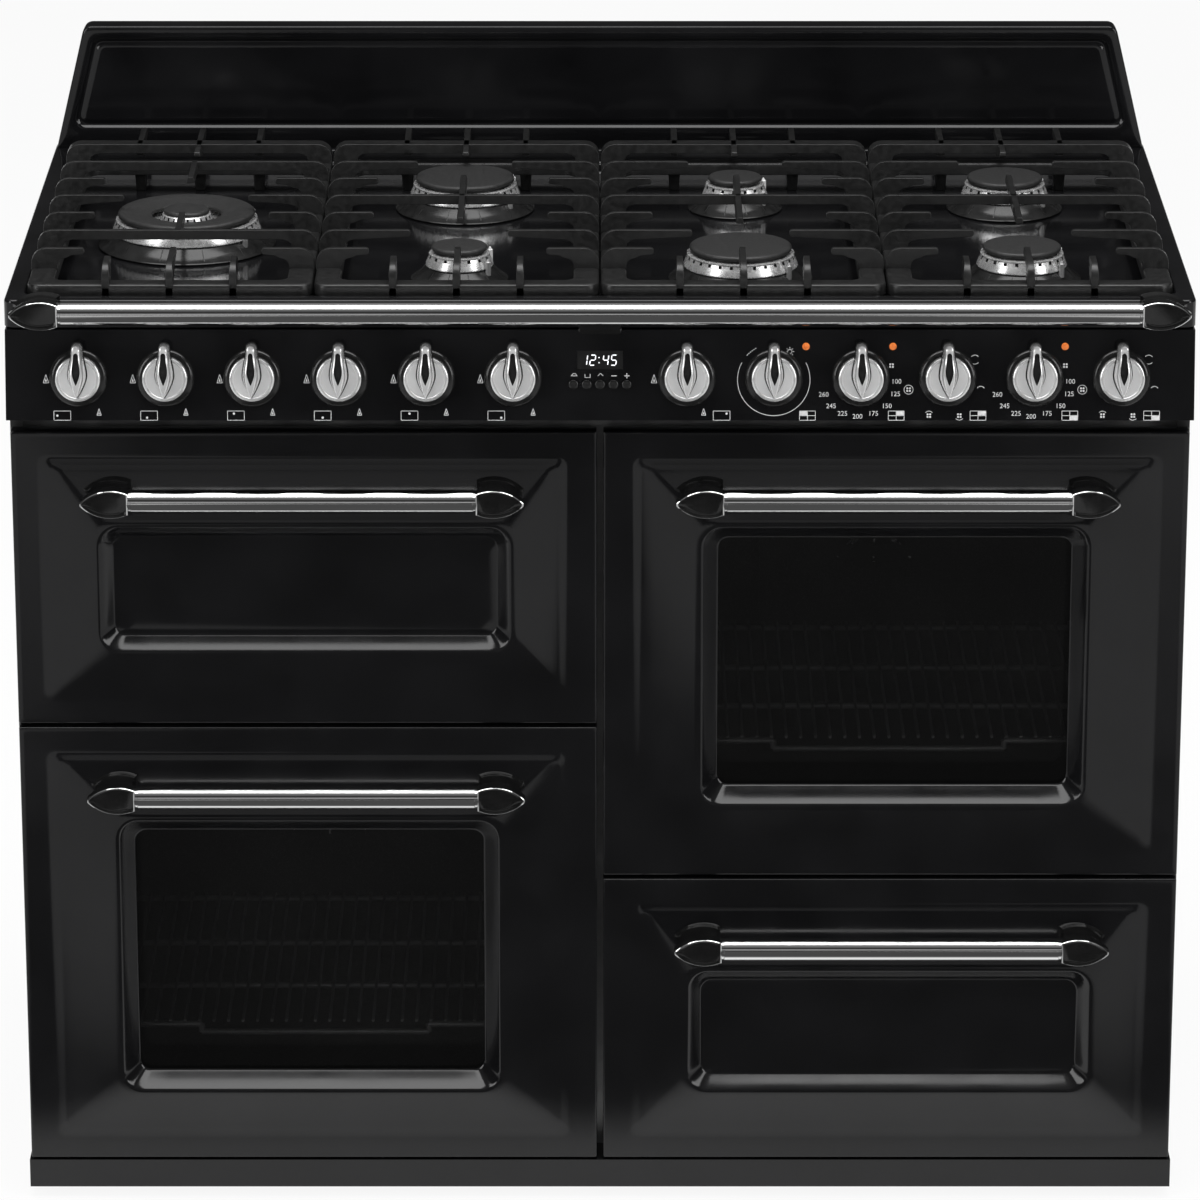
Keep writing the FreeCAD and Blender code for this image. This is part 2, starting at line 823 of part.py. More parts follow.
def front_frame():
    """Welded stiles and rails round the cavity mouths, with two hinge arms for each door."""
    edge = HALF_WIDTH - S.sheet
    x_left, z_grill = cavity_spans("grill")
    x_right, z_right_oven = cavity_spans("right_oven")
    _, z_left_oven = cavity_spans("left_oven")
    _, z_storage = cavity_spans("storage")
    z_stile = (z_storage[0], z_grill[1])
    strips = {
        "left_stile": ((-edge, x_left[0]), z_stile),
        "middle_stile": ((x_left[1], x_right[0]), z_stile),
        "right_stile": ((x_right[1], edge), z_stile),
        "bottom_rail": ((-edge, edge), (PLINTH_TOP, z_storage[0])),
        "left_rail": (x_left, (z_left_oven[1], z_grill[0])),
        "right_rail": (x_right, (z_storage[1], z_right_oven[0])),
    }
    pieces = [box(name, x, (FRAME_FRONT, FRAME_BACK), z) for name, (x, z) in strips.items()]
    top = box("top_rail", (-edge, edge), (FRAME_FRONT, FRAME_BACK), (z_grill[1], HOB_BASE))
    supply = (INLET_X, FRAME_FRONT, INLET_Z)
    hole = rod("supply_hole", "Y", supply, S.manifold_radius + S.fit_gap, S.sheet)
    pieces.append(cut("top_rail_pierced", top, [hole]))
    pivot_y = FRONT + S.pivot_back
    for name, side, lower, _, _ in DOORS:
        pivot_z = lower + S.pivot_up
        for k, (place_x, side_of_pin) in enumerate(hinge_places(DOOR_MIDDLE * side)):
            x_arm = around(place_x, S.hinge_arm_width)
            z_arm = around(pivot_z, S.hinge_eye_radius * 2)
            arm = box(f"{name}_arm_{k}", x_arm, (pivot_y, FRAME_FRONT), z_arm)
            eye_start = (x_arm[0], pivot_y, pivot_z)
            eye = rod(f"{name}_arm_eye_{k}", "X", eye_start, S.hinge_eye_radius, S.hinge_arm_width)
            pin_length = S.hinge_side_play + S.hinge_ear_width
            pin_x = x_arm[1] if side_of_pin > 0 else x_arm[0] - pin_length
            pin = rod(f"{name}_pin_{k}", "X", (pin_x, pivot_y, pivot_z), S.hinge_pin_radius, pin_length)
            pieces.append(fuse(f"{name}_hinge_arm_{k}", [arm, eye, pin]))
    node("front_frame", group("frame_and_hinges", pieces))


def cavity_sheets(name, x, z, stop):
    """Four walls, four rounded corners and a back, welded edge to edge, with a front flange."""
    radius = S.cavity_radius
    depth = (FRAME_BACK, stop)
    outer = extrusion(
        f"{name}_shell", "XZ", *depth, draw_rounded, grown(x, S.sheet), grown(z, S.sheet), radius + S.sheet
    )
    flange = extrusion(
        f"{name}_flange",
        "XZ",
        FRAME_BACK,
        FRAME_BACK + S.sheet,
        draw_rounded,
        grown(x, S.flange),
        grown(z, S.flange),
        radius + S.flange,
    )
    hollow = extrusion(f"{name}_hollow", "XZ", *depth, draw_rounded, x, z, radius)
    shell = cut(f"{name}_box", fuse(f"{name}_blank", [outer, flange]), [hollow])
    x_seams = (x[0] - S.flange, x[0] + radius, x[1] - radius, x[1] + S.flange)
    z_seams = (z[0] - S.flange, z[0] + radius, z[1] - radius, z[1] + S.flange)
    sheets = []
    for column in range(3):
        for row in range(3):
            if column == row == 1:
                continue
            span_x = (x_seams[column], x_seams[column + 1])
            span_z = (z_seams[row], z_seams[row + 1])
            region = box(f"{name}_region_{column}_{row}", span_x, depth, span_z)
            sheets.append(common(f"{name}_sheet_{column}_{row}", [shell, region]))
    return sheets


def cavity(name, depth):
    """An open-fronted box; an oven also has a fan motor and shelf rails."""
    x, z = cavity_spans(name)
    stop = FRAME_BACK + depth
    pieces = cavity_sheets(name, x, z, stop)
    back = extrusion(
        f"{name}_back",
        "XZ",
        stop,
        stop + S.sheet,
        draw_rounded,
        grown(x, S.sheet),
        grown(z, S.sheet),
        S.cavity_radius + S.sheet,
    )
    if name not in OVENS:
        return group(f"{name}_cavity_body", pieces + [back])
    centre = ((x[0] + x[1]) / 2, (z[0] + z[1]) / 2)
    shaft_hole = (centre[0], stop, centre[1])
    hole = rod(f"{name}_shaft_hole", "Y", shaft_hole, S.shaft_radius + S.fit_gap, S.sheet)
    pieces.append(cut(f"{name}_back_pierced", back, [hole]))
    motor_start = (centre[0], stop + S.sheet, centre[1])
    motor = rod(f"{name}_motor", "Y", motor_start, S.motor_radius, S.motor_length)
    shaft_start = (centre[0], stop - S.fan_gap - S.fan_depth, centre[1])
    shaft_length = S.motor_length + S.sheet + S.fan_gap + S.fan_depth
    shaft = rod(f"{name}_shaft", "Y", shaft_start, S.shaft_radius, shaft_length)
    pieces.append(fuse(f"{name}_motor_and_shaft", [motor, shaft]))
    rail_front = FRAME_BACK + S.rack_setback
    rail_y = (rail_front, rail_front + RACK_DEPTH - S.shelf_short)
    for level in range(DIMENSIONS["shelf_levels"]):
        height = z[0] + S.rack_level + level * S.shelf_pitch - S.rack_bar_radius
        rail_z = (height - S.shelf_rail, height)
        for label, span in (("left", (x[0], x[0] + S.shelf_rail)), ("right", (x[1] - S.shelf_rail, x[1]))):
            pieces.append(box(f"{name}_{label}_ledge_{level}", span, rail_y, rail_z))
    return group(f"{name}_cavity_body", pieces)


def cavities():
    for name, depth in CAVITIES.items():
        label = "storage_compartment" if name == "storage" else f"{name}_cavity"
        node(label, cavity(name, depth))


def oven_rack(name):
    """A wire rack: a bar frame with a dipped front bar, two cross bars and long thin wires."""
    x, z = cavity_spans(name)
    clear = grown(x, -S.rack_play)
    level = z[0] + S.rack_level
    front = FRAME_BACK + S.rack_setback
    radius = S.rack_bar_radius
    middle = (x[0] + x[1]) / 2
    bar_x = (clear[0] + radius, clear[1] - radius)
    span = bar_x[1] - bar_x[0]
    pieces = [
        rod(f"{name}_rack_left", "Y", (bar_x[0], front, level), radius, RACK_DEPTH),
        rod(f"{name}_rack_right", "Y", (bar_x[1], front, level), radius, RACK_DEPTH),
    ]
    cross_bars = {
        "back": front + RACK_DEPTH - radius,
        "cross_1": front + RACK_DEPTH * S.rack_cross_1,
        "cross_2": front + RACK_DEPTH * S.rack_cross_2,
    }
    for label, depth in cross_bars.items():
        pieces.append(rod(f"{name}_rack_{label}", "X", (bar_x[0], depth, level), radius, span))
    dip = level - S.rack_dip
    depth = front + radius
    run = S.rack_dip_half * 2
    pieces.append(rod(f"{name}_rack_front_dip", "X", (middle - S.rack_dip_half, depth, dip), radius, run))
    end = bar_x[1] - middle - S.rack_dip_half
    pieces.append(rod(f"{name}_rack_front_left", "X", (bar_x[0], depth, level), radius, end))
    pieces.append(
        rod(f"{name}_rack_front_right", "X", (middle + S.rack_dip_half, depth, level), radius, end)
    )
    for label, side in (("l", -1), ("r", 1)):
        drop = rod(
            f"{name}_rack_drop_{label}",
            "Z",
            (middle + side * S.rack_dip_half, depth, dip),
            radius,
            S.rack_dip,
        )
        pieces.append(drop)
    frame = fuse(f"{name}_rack_frame", pieces)
    wires = []
    count = int((float(span) - 2 * float(radius)) / float(S.rack_wire_pitch))
    top = level + radius + S.rack_wire_radius
    for k in range(count):
        wire_x = middle + (k - (count - 1) / 2) * S.rack_wire_pitch
        wires.append(rod(f"{name}_wire_{k}", "Y", (wire_x, front, top), S.rack_wire_radius, RACK_DEPTH))
    node(f"{name}_rack", group(f"{name}_rack_wires", [frame] + wires))


def fan(name):
    """A fan impeller: eight straight blades round a hub that runs on the motor shaft."""
    x, z = cavity_spans(name)
    centre = ((x[0] + x[1]) / 2, (z[0] + z[1]) / 2)
    body = doc.addObject("PartDesign::Body", f"{name}_fan_body")
    hub_sketch = body_sketch(body, f"{name}_hub_section", "XZ_Plane")
    bore = S.shaft_radius + S.running_clearance
    draw_polygon(
        hub_sketch,
        [(bore, 0), (S.fan_hub_radius, 0), (S.fan_hub_radius, S.fan_depth), (bore, S.fan_depth)],
    )
    hub = body.newObject("PartDesign::Revolution", f"{name}_hub")
    hub.Profile = hub_sketch
    hub.ReferenceAxis = (hub_sketch, ["V_Axis"])
    hub.Angle = 360
    blade_sketch = body_sketch(body, f"{name}_blade_outline", "XY_Plane")
    blade_start = S.fan_hub_radius - S.sheet
    draw_polygon(
        blade_sketch,
        [
            (blade_start, -S.fan_blade / 2),
            (S.fan_radius, -S.fan_blade / 2),
            (S.fan_radius, S.fan_blade / 2),
            (blade_start, S.fan_blade / 2),
        ],
    )
    blade = body.newObject("PartDesign::Pad", f"{name}_blade")
    blade.Profile = blade_sketch
    bind(blade, Length=S.fan_depth)
    doc.recompute()
    ring = body.newObject("PartDesign::PolarPattern", f"{name}_blades")
    ring.Originals = [blade]
    ring.Axis = (hub_sketch, ["V_Axis"])
    ring.Angle = 360
    ring.Occurrences = DIMENSIONS["fan_blades"]
    body.Tip = ring
    body.Placement = FreeCAD.Placement(Vector(), TURNS["Y"])
    place(body, centre[0], CAVITY_BACK - S.fan_gap - S.fan_depth, centre[1])
    node(f"{name}_fan", body)


def fan_covers():
    """Dished plates with slots, in front of the fans."""
    covers = []
    for name in OVENS:
        x, z = cavity_spans(name)
        centre = ((x[0] + x[1]) / 2, (z[0] + z[1]) / 2)
        front = CAVITY_BACK - S.fan_gap * 2 - S.fan_depth - S.sheet
        x_cover = around(centre[0], S.fan_cover_size)
        z_cover = around(centre[1], S.fan_cover_size)
        dish = extrusion(
            f"{name}_cover", "XZ", front, CAVITY_BACK, draw_rounded, x_cover, z_cover, S.recess_radius
        )
        inside = extrusion(
            f"{name}_cover_inside",
            "XZ",
            front + S.sheet,
            CAVITY_BACK,
            draw_rounded,
            grown(x_cover, -S.sheet),
            grown(z_cover, -S.sheet),
            S.recess_radius - S.sheet,
        )
        slots = []
        count = DIMENSIONS["cover_slots"]
        for k in range(count):
            slot_z = centre[1] + (k - (count - 1) / 2) * S.cover_slot_pitch
            slots.append(
                box(
                    f"{name}_slot_{k}",
                    around(centre[0], S.cover_slot_length),
                    (front, front + S.sheet),
                    around(slot_z, S.element_radius * 2),
                )
            )
        covers.append(cut(f"{name}_cover_shell", dish, [inside] + slots))
    node("oven_fan_covers", group("cover_pair", covers))


def heating_elements():
    """The grill's looped element and a ring element round each fan."""
    pieces = []
    for name in OVENS:
        x, z = cavity_spans(name)
        centre = ((x[0] + x[1]) / 2, (z[0] + z[1]) / 2)
        depth = CAVITY_BACK - S.fan_gap - S.fan_depth / 2
        ring = doc.addObject("Part::Torus", f"{name}_ring")
        ring.Placement = FreeCAD.Placement(Vector(), TURNS["Y"])
        bind(ring, Radius1=S.element_ring, Radius2=S.element_radius)
        place(ring, centre[0], depth, centre[1])
        stems = [
            rod(
                f"{name}_stem_{k}",
                "Y",
                (centre[0] + side * S.element_ring, depth, centre[1]),
                S.element_radius,
                CAVITY_BACK - depth,
            )
            for k, side in enumerate((-1, 1))
        ]
        pieces.append(fuse(f"{name}_element", [ring] + stems))
    x, z = cavity_spans("grill")
    level = z[1] - S.grill_element_drop
    middle = (x[0] + x[1]) / 2
    front = FRAME_BACK + S.grill_loop_front
    parts = []
    legs = DIMENSIONS["grill_loop_legs"]
    for k in range(legs):
        leg_x = middle + (k - (legs - 1) / 2) * S.grill_loop_pitch
        leg_start = (leg_x, front, level)
        parts.append(rod(f"grill_leg_{k}", "Y", leg_start, S.element_radius, CAVITY_BACK - front))
    for k in range(0, legs - 1, 2):
        bend_x = middle + (k + 0.5 - (legs - 1) / 2) * S.grill_loop_pitch
        bend = doc.addObject("Part::Torus", f"grill_bend_{k}")
        bind(bend, Radius1=S.grill_loop_pitch / 2, Radius2=S.element_radius)
        bend.Angle3 = 180
        bend.Placement = FreeCAD.Placement(Vector(), FreeCAD.Rotation(Vector(0, 0, 1), 180))
        parts.append(place(bend, bend_x, front, level))
    pieces.append(fuse("grill_element", parts))
    node("heating_elements", group("elements", pieces))


# ---------------------------------------------------------------- hob and backguard
def hob_top():
    """The pressed hob: a rolled rim round a sunken well, hollow below."""
    x = (-HALF_WIDTH, HALF_WIDTH)
    y = (HOB_FRONT, BACK)
    top = S.hob_height
    body = doc.addObject("PartDesign::Body", "hob_body")
    sketch = body_sketch(body, "hob_outline", "XY_Plane")
    draw_rounded(sketch, x, y, S.hob_corner)
    block = body.newObject("PartDesign::Pad", "hob_block")
    block.Profile = sketch
    bind(block, Length=S.hob_rim_height)
    doc.recompute()
    edges = [
        f"Edge{k + 1}"
        for k, edge in enumerate(block.Shape.Edges)
        if abs(edge.BoundBox.ZMin - float(S.hob_rim_height)) < 1e-6
    ]
    rolled = body.newObject("PartDesign::Fillet", "hob_rolled_edge")
    rolled.Base = (block, edges)
    bind(rolled, Radius=S.hob_edge_radius)
    body.Tip = rolled
    place(body, 0, 0, HOB_BASE)
    x_well = grown(x, -S.well_margin)
    y_well = (y[0] + S.well_margin, BACK - S.backguard_depth - S.hob_corner)
    well = extrusion("hob_well", "XY", WELL_FLOOR, top, draw_rounded, x_well, y_well, S.well_radius)
    under_rim = extrusion(
        "hob_under_rim",
        "XY",
        HOB_BASE,
        top - S.sheet,
        draw_rounded,
        grown(x, -S.sheet),
        grown(y, -S.sheet),
        S.hob_corner - S.sheet,
    )
    well_sheet = extrusion(
        "hob_well_sheet",
        "XY",
        WELL_FLOOR - S.sheet,
        top,
        draw_rounded,
        grown(x_well, S.sheet),
        grown(y_well, S.sheet),
        S.well_radius + S.sheet,
    )
    hollow = cut("hob_hollow", under_rim, [well_sheet])
    node("hob_top", cut("hob_pressing", body, [well, hollow]))


def backguard():
    """A folded upstand, narrower at the top, with a pressed panel inside a border."""
    base = S.hob_height
    top = base + S.backguard_height
    front = BACK - S.backguard_depth
    slope = S.backguard_slant / S.backguard_height
    base_half = HALF_WIDTH - S.backguard_side_step

    def trapezoid(inset, lower, upper):
        low_half = base_half - inset - slope * (lower - base)
        high_half = base_half - inset - slope * (upper - base)
        return [(-low_half, lower), (low_half, lower), (high_half, upper), (-high_half, upper)]

    body = doc.addObject("PartDesign::Body", "backguard_body")
    sketch = body_sketch(body, "backguard_outline", "XZ_Plane")
    draw_polygon(sketch, trapezoid(S.sheet * 0, base, top))
    block = body.newObject("PartDesign::Pad", "backguard_block")
    block.Profile = sketch
    bind(block, Length=S.backguard_depth)
    doc.recompute()
    corners = [
        f"Edge{k + 1}"
        for k, edge in enumerate(block.Shape.Edges)
        if edge.BoundBox.ZMin > float(top) - 1e-6 and edge.BoundBox.YLength > 1
    ]
    rounded = body.newObject("PartDesign::Fillet", "backguard_corners")
    rounded.Base = (block, corners)
    bind(rounded, Radius=S.backguard_corner)
    body.Tip = rounded
    place(body, 0, BACK, 0)
    border = S.backguard_border
    field = extrusion(
        "backguard_field",
        "XZ",
        front,
        front + S.backguard_recess,
        draw_polygon,
        trapezoid(border, base + border, top - border),
    )
    hollow = extrusion(
        "backguard_hollow",
        "XZ",
        front + S.backguard_recess + S.sheet,
        BACK,
        draw_polygon,
        trapezoid(S.sheet + S.backguard_recess, base + S.sheet, top - S.sheet - S.backguard_recess),
    )
    node("backguard", cut("backguard_pressing", body, [field, hollow]))


# ---------------------------------------------------------------- control panel
COS = cosine(S.panel_tilt)
SIN = sine(S.panel_tilt)


def on_panel(x, up, out):
    """A point given by its height along the panel face and its distance in front of it."""
    y = FRONT - S.panel_bottom_reach + up * SIN - out * COS
    return x, y, PANEL_BOTTOM + up * COS + out * SIN


def lean(item, position):
    """Turn a piece built with +Z outwards so that it stands on the sloping panel."""
    item.Placement = FreeCAD.Placement(Vector(), FreeCAD.Rotation(Vector(1, 0, 0), 90))
    item.setExpression("Placement.Rotation.Angle", text_of(90 - S.panel_tilt))
    return place(item, *position)


def lean_rod(name, x, up, out, radius, length):
    """A cylinder at right angles to the panel face, from out towards the room."""
    item = doc.addObject("Part::Cylinder", name)
    bind(item, Radius=radius, Height=length)
    return lean(item, on_panel(x, up, out))


def lean_box(name, x, up, out):
    """A block laid parallel to the panel face."""
    item = doc.addObject("Part::Box", name)
    bind(item, Length=x[1] - x[0], Width=up[1] - up[0], Height=out[1] - out[0])
    return lean(item, on_panel(x[0], up[0], out[0]))


KNOB_PLACES = [(k - 6 if k < 6 else k - 5) * S.knob_pitch for k in range(12)]
LAMP_PLACES = [KNOB_PLACES[7] + S.lamp_side, KNOB_PLACES[8] + S.lamp_side, KNOB_PLACES[10] + S.last_lamp_side]
BUTTON_PLACES = [(k - 2) * S.button_pitch for k in range(5)]
DISPLAY_X = (-S.display_width / 2, S.display_width / 2)
DISPLAY_UP = around(S.knob_row + S.display_up, S.display_height)
_, MANIFOLD_Y, MANIFOLD_Z = on_panel(0, S.knob_row, -S.manifold_setback)
INLET_X = HALF_WIDTH - S.inlet_inset
INLET_Z = MANIFOLD_Z


def control_panel():
    """The sloping fascia, folded back at top, bottom and ends, with its openings."""
    _, bottom_y, bottom_z = on_panel(0, 0, 0)
    _, top_y, top_z = on_panel(0, S.panel_height / COS, 0)

    def section(inset):
        behind = inset / COS
        along = inset * SIN / COS
        return [
            (bottom_y + along + behind, bottom_z + inset),
            (CASING_FRONT, bottom_z + inset - S.reveal),
            (CASING_FRONT, top_z - inset),
            (top_y - along + behind, top_z - inset),
        ]

    x = grown((-HALF_WIDTH, HALF_WIDTH), -S.reveal / 2)
    block = extrusion("panel_block", "YZ", x[0], x[1], draw_polygon, section(S.sheet * 0))
    x_in = grown(x, -S.sheet)
    hollow = extrusion("panel_hollow", "YZ", x_in[0], x_in[1], draw_polygon, section(S.sheet))
    tools = [hollow]
    holes = [("spindle", KNOB_PLACES, S.knob_row, S.spindle_hole)]
    holes.append(("button", BUTTON_PLACES, S.knob_row + S.button_up, S.button_radius + S.fit_gap))
    holes.append(("lamp", LAMP_PLACES, S.knob_row + S.lamp_up, S.lamp_radius))
    for label, places, up, radius in holes:
        for k, hole_x in enumerate(places):
            hole = lean_rod(f"{label}_hole_{k}", hole_x, up, -S.punch_depth / 2, radius, S.punch_depth)
            tools.append(hole)
    tools.append(lean_box("display_hole", DISPLAY_X, DISPLAY_UP, (-S.punch_depth / 2, S.punch_depth / 2)))
    node("control_panel", cut("panel_pressing", block, tools))


def clock_and_lamps():
    """The clock window on its module behind the panel, and three lamp lenses."""
    face = -S.window_depth
    behind = face - S.button_length
    window = lean_box("clock_window", DISPLAY_X, DISPLAY_UP, (face, -S.window_setback))
    stalk = lean_box("clock_stalk", DISPLAY_X, DISPLAY_UP, (behind, face))
    module = lean_box(
        "clock_module",
        (-S.module_width / 2, S.module_width / 2),
        around(S.knob_row + S.display_up / 2, S.display_module),
        (behind - S.sheet * 3, behind),
    )
    pieces = [fuse("clock", [window, module, stalk])]
    for k, lamp_x in enumerate(LAMP_PLACES):
        up = S.knob_row + S.lamp_up
        lens = lean_rod(f"lamp_lens_{k}", lamp_x, up, -S.sheet * 2, S.lamp_radius, S.sheet * 2.5)
        flange = lean_rod(f"lamp_flange_{k}", lamp_x, up, -S.sheet * 2, S.lamp_flange_radius, S.sheet)
        pieces.append(fuse(f"lamp_{k}", [lens, flange]))
    node("clock_and_lamps", group("clock_group", pieces))


def clock_buttons():
    for k, button_x in enumerate(BUTTON_PLACES):
        start = S.button_reach - S.button_length
        up = S.knob_row + S.button_up
        button = lean_rod(f"button_{k}", button_x, up, start, S.button_radius, S.button_length)
        node(f"clock_button_{k + 1}", button)


def knob(index, x):
    """A knob: skirt, disc and a drop-shaped lever, bored for its spindle."""
    name = f"knob_{index}"
    skirt = S.knob_skirt_radius
    shoulder = S.knob_gap + S.knob_skirt_depth
    top = shoulder + S.knob_disc_depth
    profile = [
        (0, S.knob_gap),
        (skirt, S.knob_gap),
        (skirt, shoulder * 0.6),
        (skirt - S.sheet * 2, shoulder),
        (S.knob_disc_radius, shoulder),
        (S.knob_disc_radius, top - S.sheet),
        (S.knob_disc_radius - S.sheet, top),
        (0, top),
    ]
    dial = turned(f"{name}_dial", profile)
    lever = extrusion(
        f"{name}_lever",
        "XY",
        top - S.sheet,
        top + S.knob_lever_depth,
        draw_polygon,
        [
            (S.sheet * 0, -S.lever_down),
            (S.lever_wide, S.lever_shoulder),
            (S.lever_tip, S.lever_up - S.lever_tip),
            (S.lever_tip * 0.6, S.lever_up),
            (S.lever_tip * -0.6, S.lever_up),
            (-S.lever_tip, S.lever_up - S.lever_tip),
            (-S.lever_wide, S.lever_shoulder),
        ],
    )
    bore = rod(
        f"{name}_bore",
        "Z",
        (0, 0, 0),
        S.spindle_radius + S.running_clearance,
        S.spindle_length + S.running_clearance,
    )
    finished = cut(f"{name}_finished", fuse(f"{name}_blank", [dial, lever]), [bore])
    lean(finished, on_panel(x, S.knob_row, 0))
    node(name, finished)


def valve_and_switch_rail():
    """The rail behind the panel with taps, switches, spindles, gas manifold and inlet."""
    x_rail = grown((-HALF_WIDTH, HALF_WIDTH), -S.reveal / 2 - S.sheet)
    setback = -S.valve_rail_setback
    up = around(S.knob_row, S.valve_rail_half * 2)
    pieces = [lean_box("valve_strip", x_rail, up, (setback - S.sheet, setback))]
    neck = S.manifold_setback - S.valve_rail_setback
    for k, knob_x in enumerate(KNOB_PLACES):
        pieces.append(lean_rod(f"tap_{k}", knob_x, S.knob_row, setback, S.tap_radius, S.tap_length))
        spindle = S.spindle_length - setback
        pieces.append(lean_rod(f"spindle_{k}", knob_x, S.knob_row, setback, S.spindle_radius, spindle))
        pieces.append(
            lean_rod(f"tap_neck_{k}", knob_x, S.knob_row, -S.manifold_setback, S.manifold_radius * 0.8, neck)
        )
    pipe_start = KNOB_PLACES[0] - S.tap_radius
    pipe = rod(
        "manifold",
        "X",
        (pipe_start, MANIFOLD_Y, MANIFOLD_Z),
        S.manifold_radius,
        INLET_X - pipe_start,
    )
    supply_start = (INLET_X, MANIFOLD_Y, INLET_Z)
    supply = rod("supply", "Y", supply_start, S.manifold_radius, BACK_PANEL - MANIFOLD_Y)
    stub = rod("inlet_stub", "Y", (INLET_X, BACK_PANEL, INLET_Z), S.inlet_radius, S.inlet_length)
    node("valve_and_switch_rail", fuse("valve_rail_body", pieces + [pipe, supply, stub]))


def towel_rail():
    """The bar across the front of the hob, its two leaf ends and its middle bracket."""
    level = S.hob_height - S.rail_drop
    axis_y = HOB_FRONT - S.rail_standoff
    half = HALF_WIDTH - S.rail_end_margin
    bar = rod("rail_bar", "X", (-half, axis_y, level), S.bar_radius, half * 2)
    depth = (axis_y - S.bar_radius, HOB_FRONT)
    ends = [
        leaf("rail_left_leaf", -half, -1, depth, level),
        leaf("rail_right_leaf", half, 1, depth, level),
    ]
    bracket_top = level - S.bar_radius * 0.8
    bracket = box(
        "rail_bracket",
        around(S.sheet * 0, S.rail_bracket_width),
        (axis_y - S.bar_radius / 2, HOB_FRONT),
        (bracket_top - S.rail_bracket_height, bracket_top),
    )
    node("front_rail", fuse("rail", [bar, bracket] + ends))


# ---------------------------------------------------------------- burners and pan supports
BURNERS = [
    ("wok", -1.5, S.middle_row, S.wok_cap_radius, 1),
    ("rear_left", -0.5, S.rear_row, S.large_cap_radius, 2),
    ("front_left", -0.5, S.front_row, S.small_cap_radius, 2),
    ("rear_middle", 0.5, S.rear_row, S.small_cap_radius, 3),
    ("front_middle", 0.5, S.front_row, S.large_cap_radius, 3),
    ("rear_right", 1.5, S.rear_row, S.medium_cap_radius, 4),
    ("front_right", 1.5, S.front_row, S.medium_cap_radius, 4),
]


def burner_place(column, row):
    return column * SUPPORT_PITCH, FRONT + row


def burner_spreaders():
    """Flared skirts and bright flame rings, one turned piece per burner."""
    pieces = []
    rise = S.well_depth + S.cap_top
    for name, column, row, radius, _ in BURNERS:
        x, y = burner_place(column, row)
        ring = radius + S.ring_flare
        seat = rise - S.cap_height
        ring_base = seat - S.ring_height
        skirt = radius + S.skirt_flare
        profile = [
            (0, 0),
            (radius, 0),
            (radius, ring_base * 0.4),
            (skirt, ring_base * 0.4),
            (ring, ring_base),
            (ring, ring_base + S.sheet),
            (radius - S.sheet, seat),
            (0, seat),
        ]
        pieces.append(turned(f"{name}_spreader", profile, (x, y, WELL_FLOOR)))
    node("burner_spreaders", group("spreader_group", pieces))


def burner_caps():
    """Flat caps with rounded rims; the wok burner has a ring cap round a small middle cap."""
    seat = S.hob_height + S.cap_top - S.cap_height
    for support in (1, 2, 3, 4):
        pieces = []
        for name, column, row, radius, owner in BURNERS:
            if owner != support:
                continue
            x, y = burner_place(column, row)
            thick = S.cap_height
            inner = S.wok_inner_radius + S.ring_flare if name == "wok" else 0
            profile = [
                (inner, 0),
                (radius - S.sheet, 0),
                (radius, thick * 0.3),
                (radius, thick * 0.7),
                (radius - S.sheet, thick),
                (inner, thick),
            ]
            pieces.append(turned(f"{name}_cap", profile, (x, y, seat)))
            if name == "wok":
                button = [
                    (0, 0),
                    (S.wok_inner_radius, 0),
                    (S.wok_inner_radius, thick * 0.7),
                    (S.wok_inner_radius - S.sheet, thick),
                    (0, thick),
                ]
                pieces.append(turned("wok_middle_cap", button, (x, y, seat)))
        item = pieces[0] if len(pieces) == 1 else group(f"cap_group_{support}", pieces)
        node(f"burner_caps_{support}", item)


def finger_rows():
    return [FRONT + S.finger_first + S.finger_pitch * k for k in range(6)]


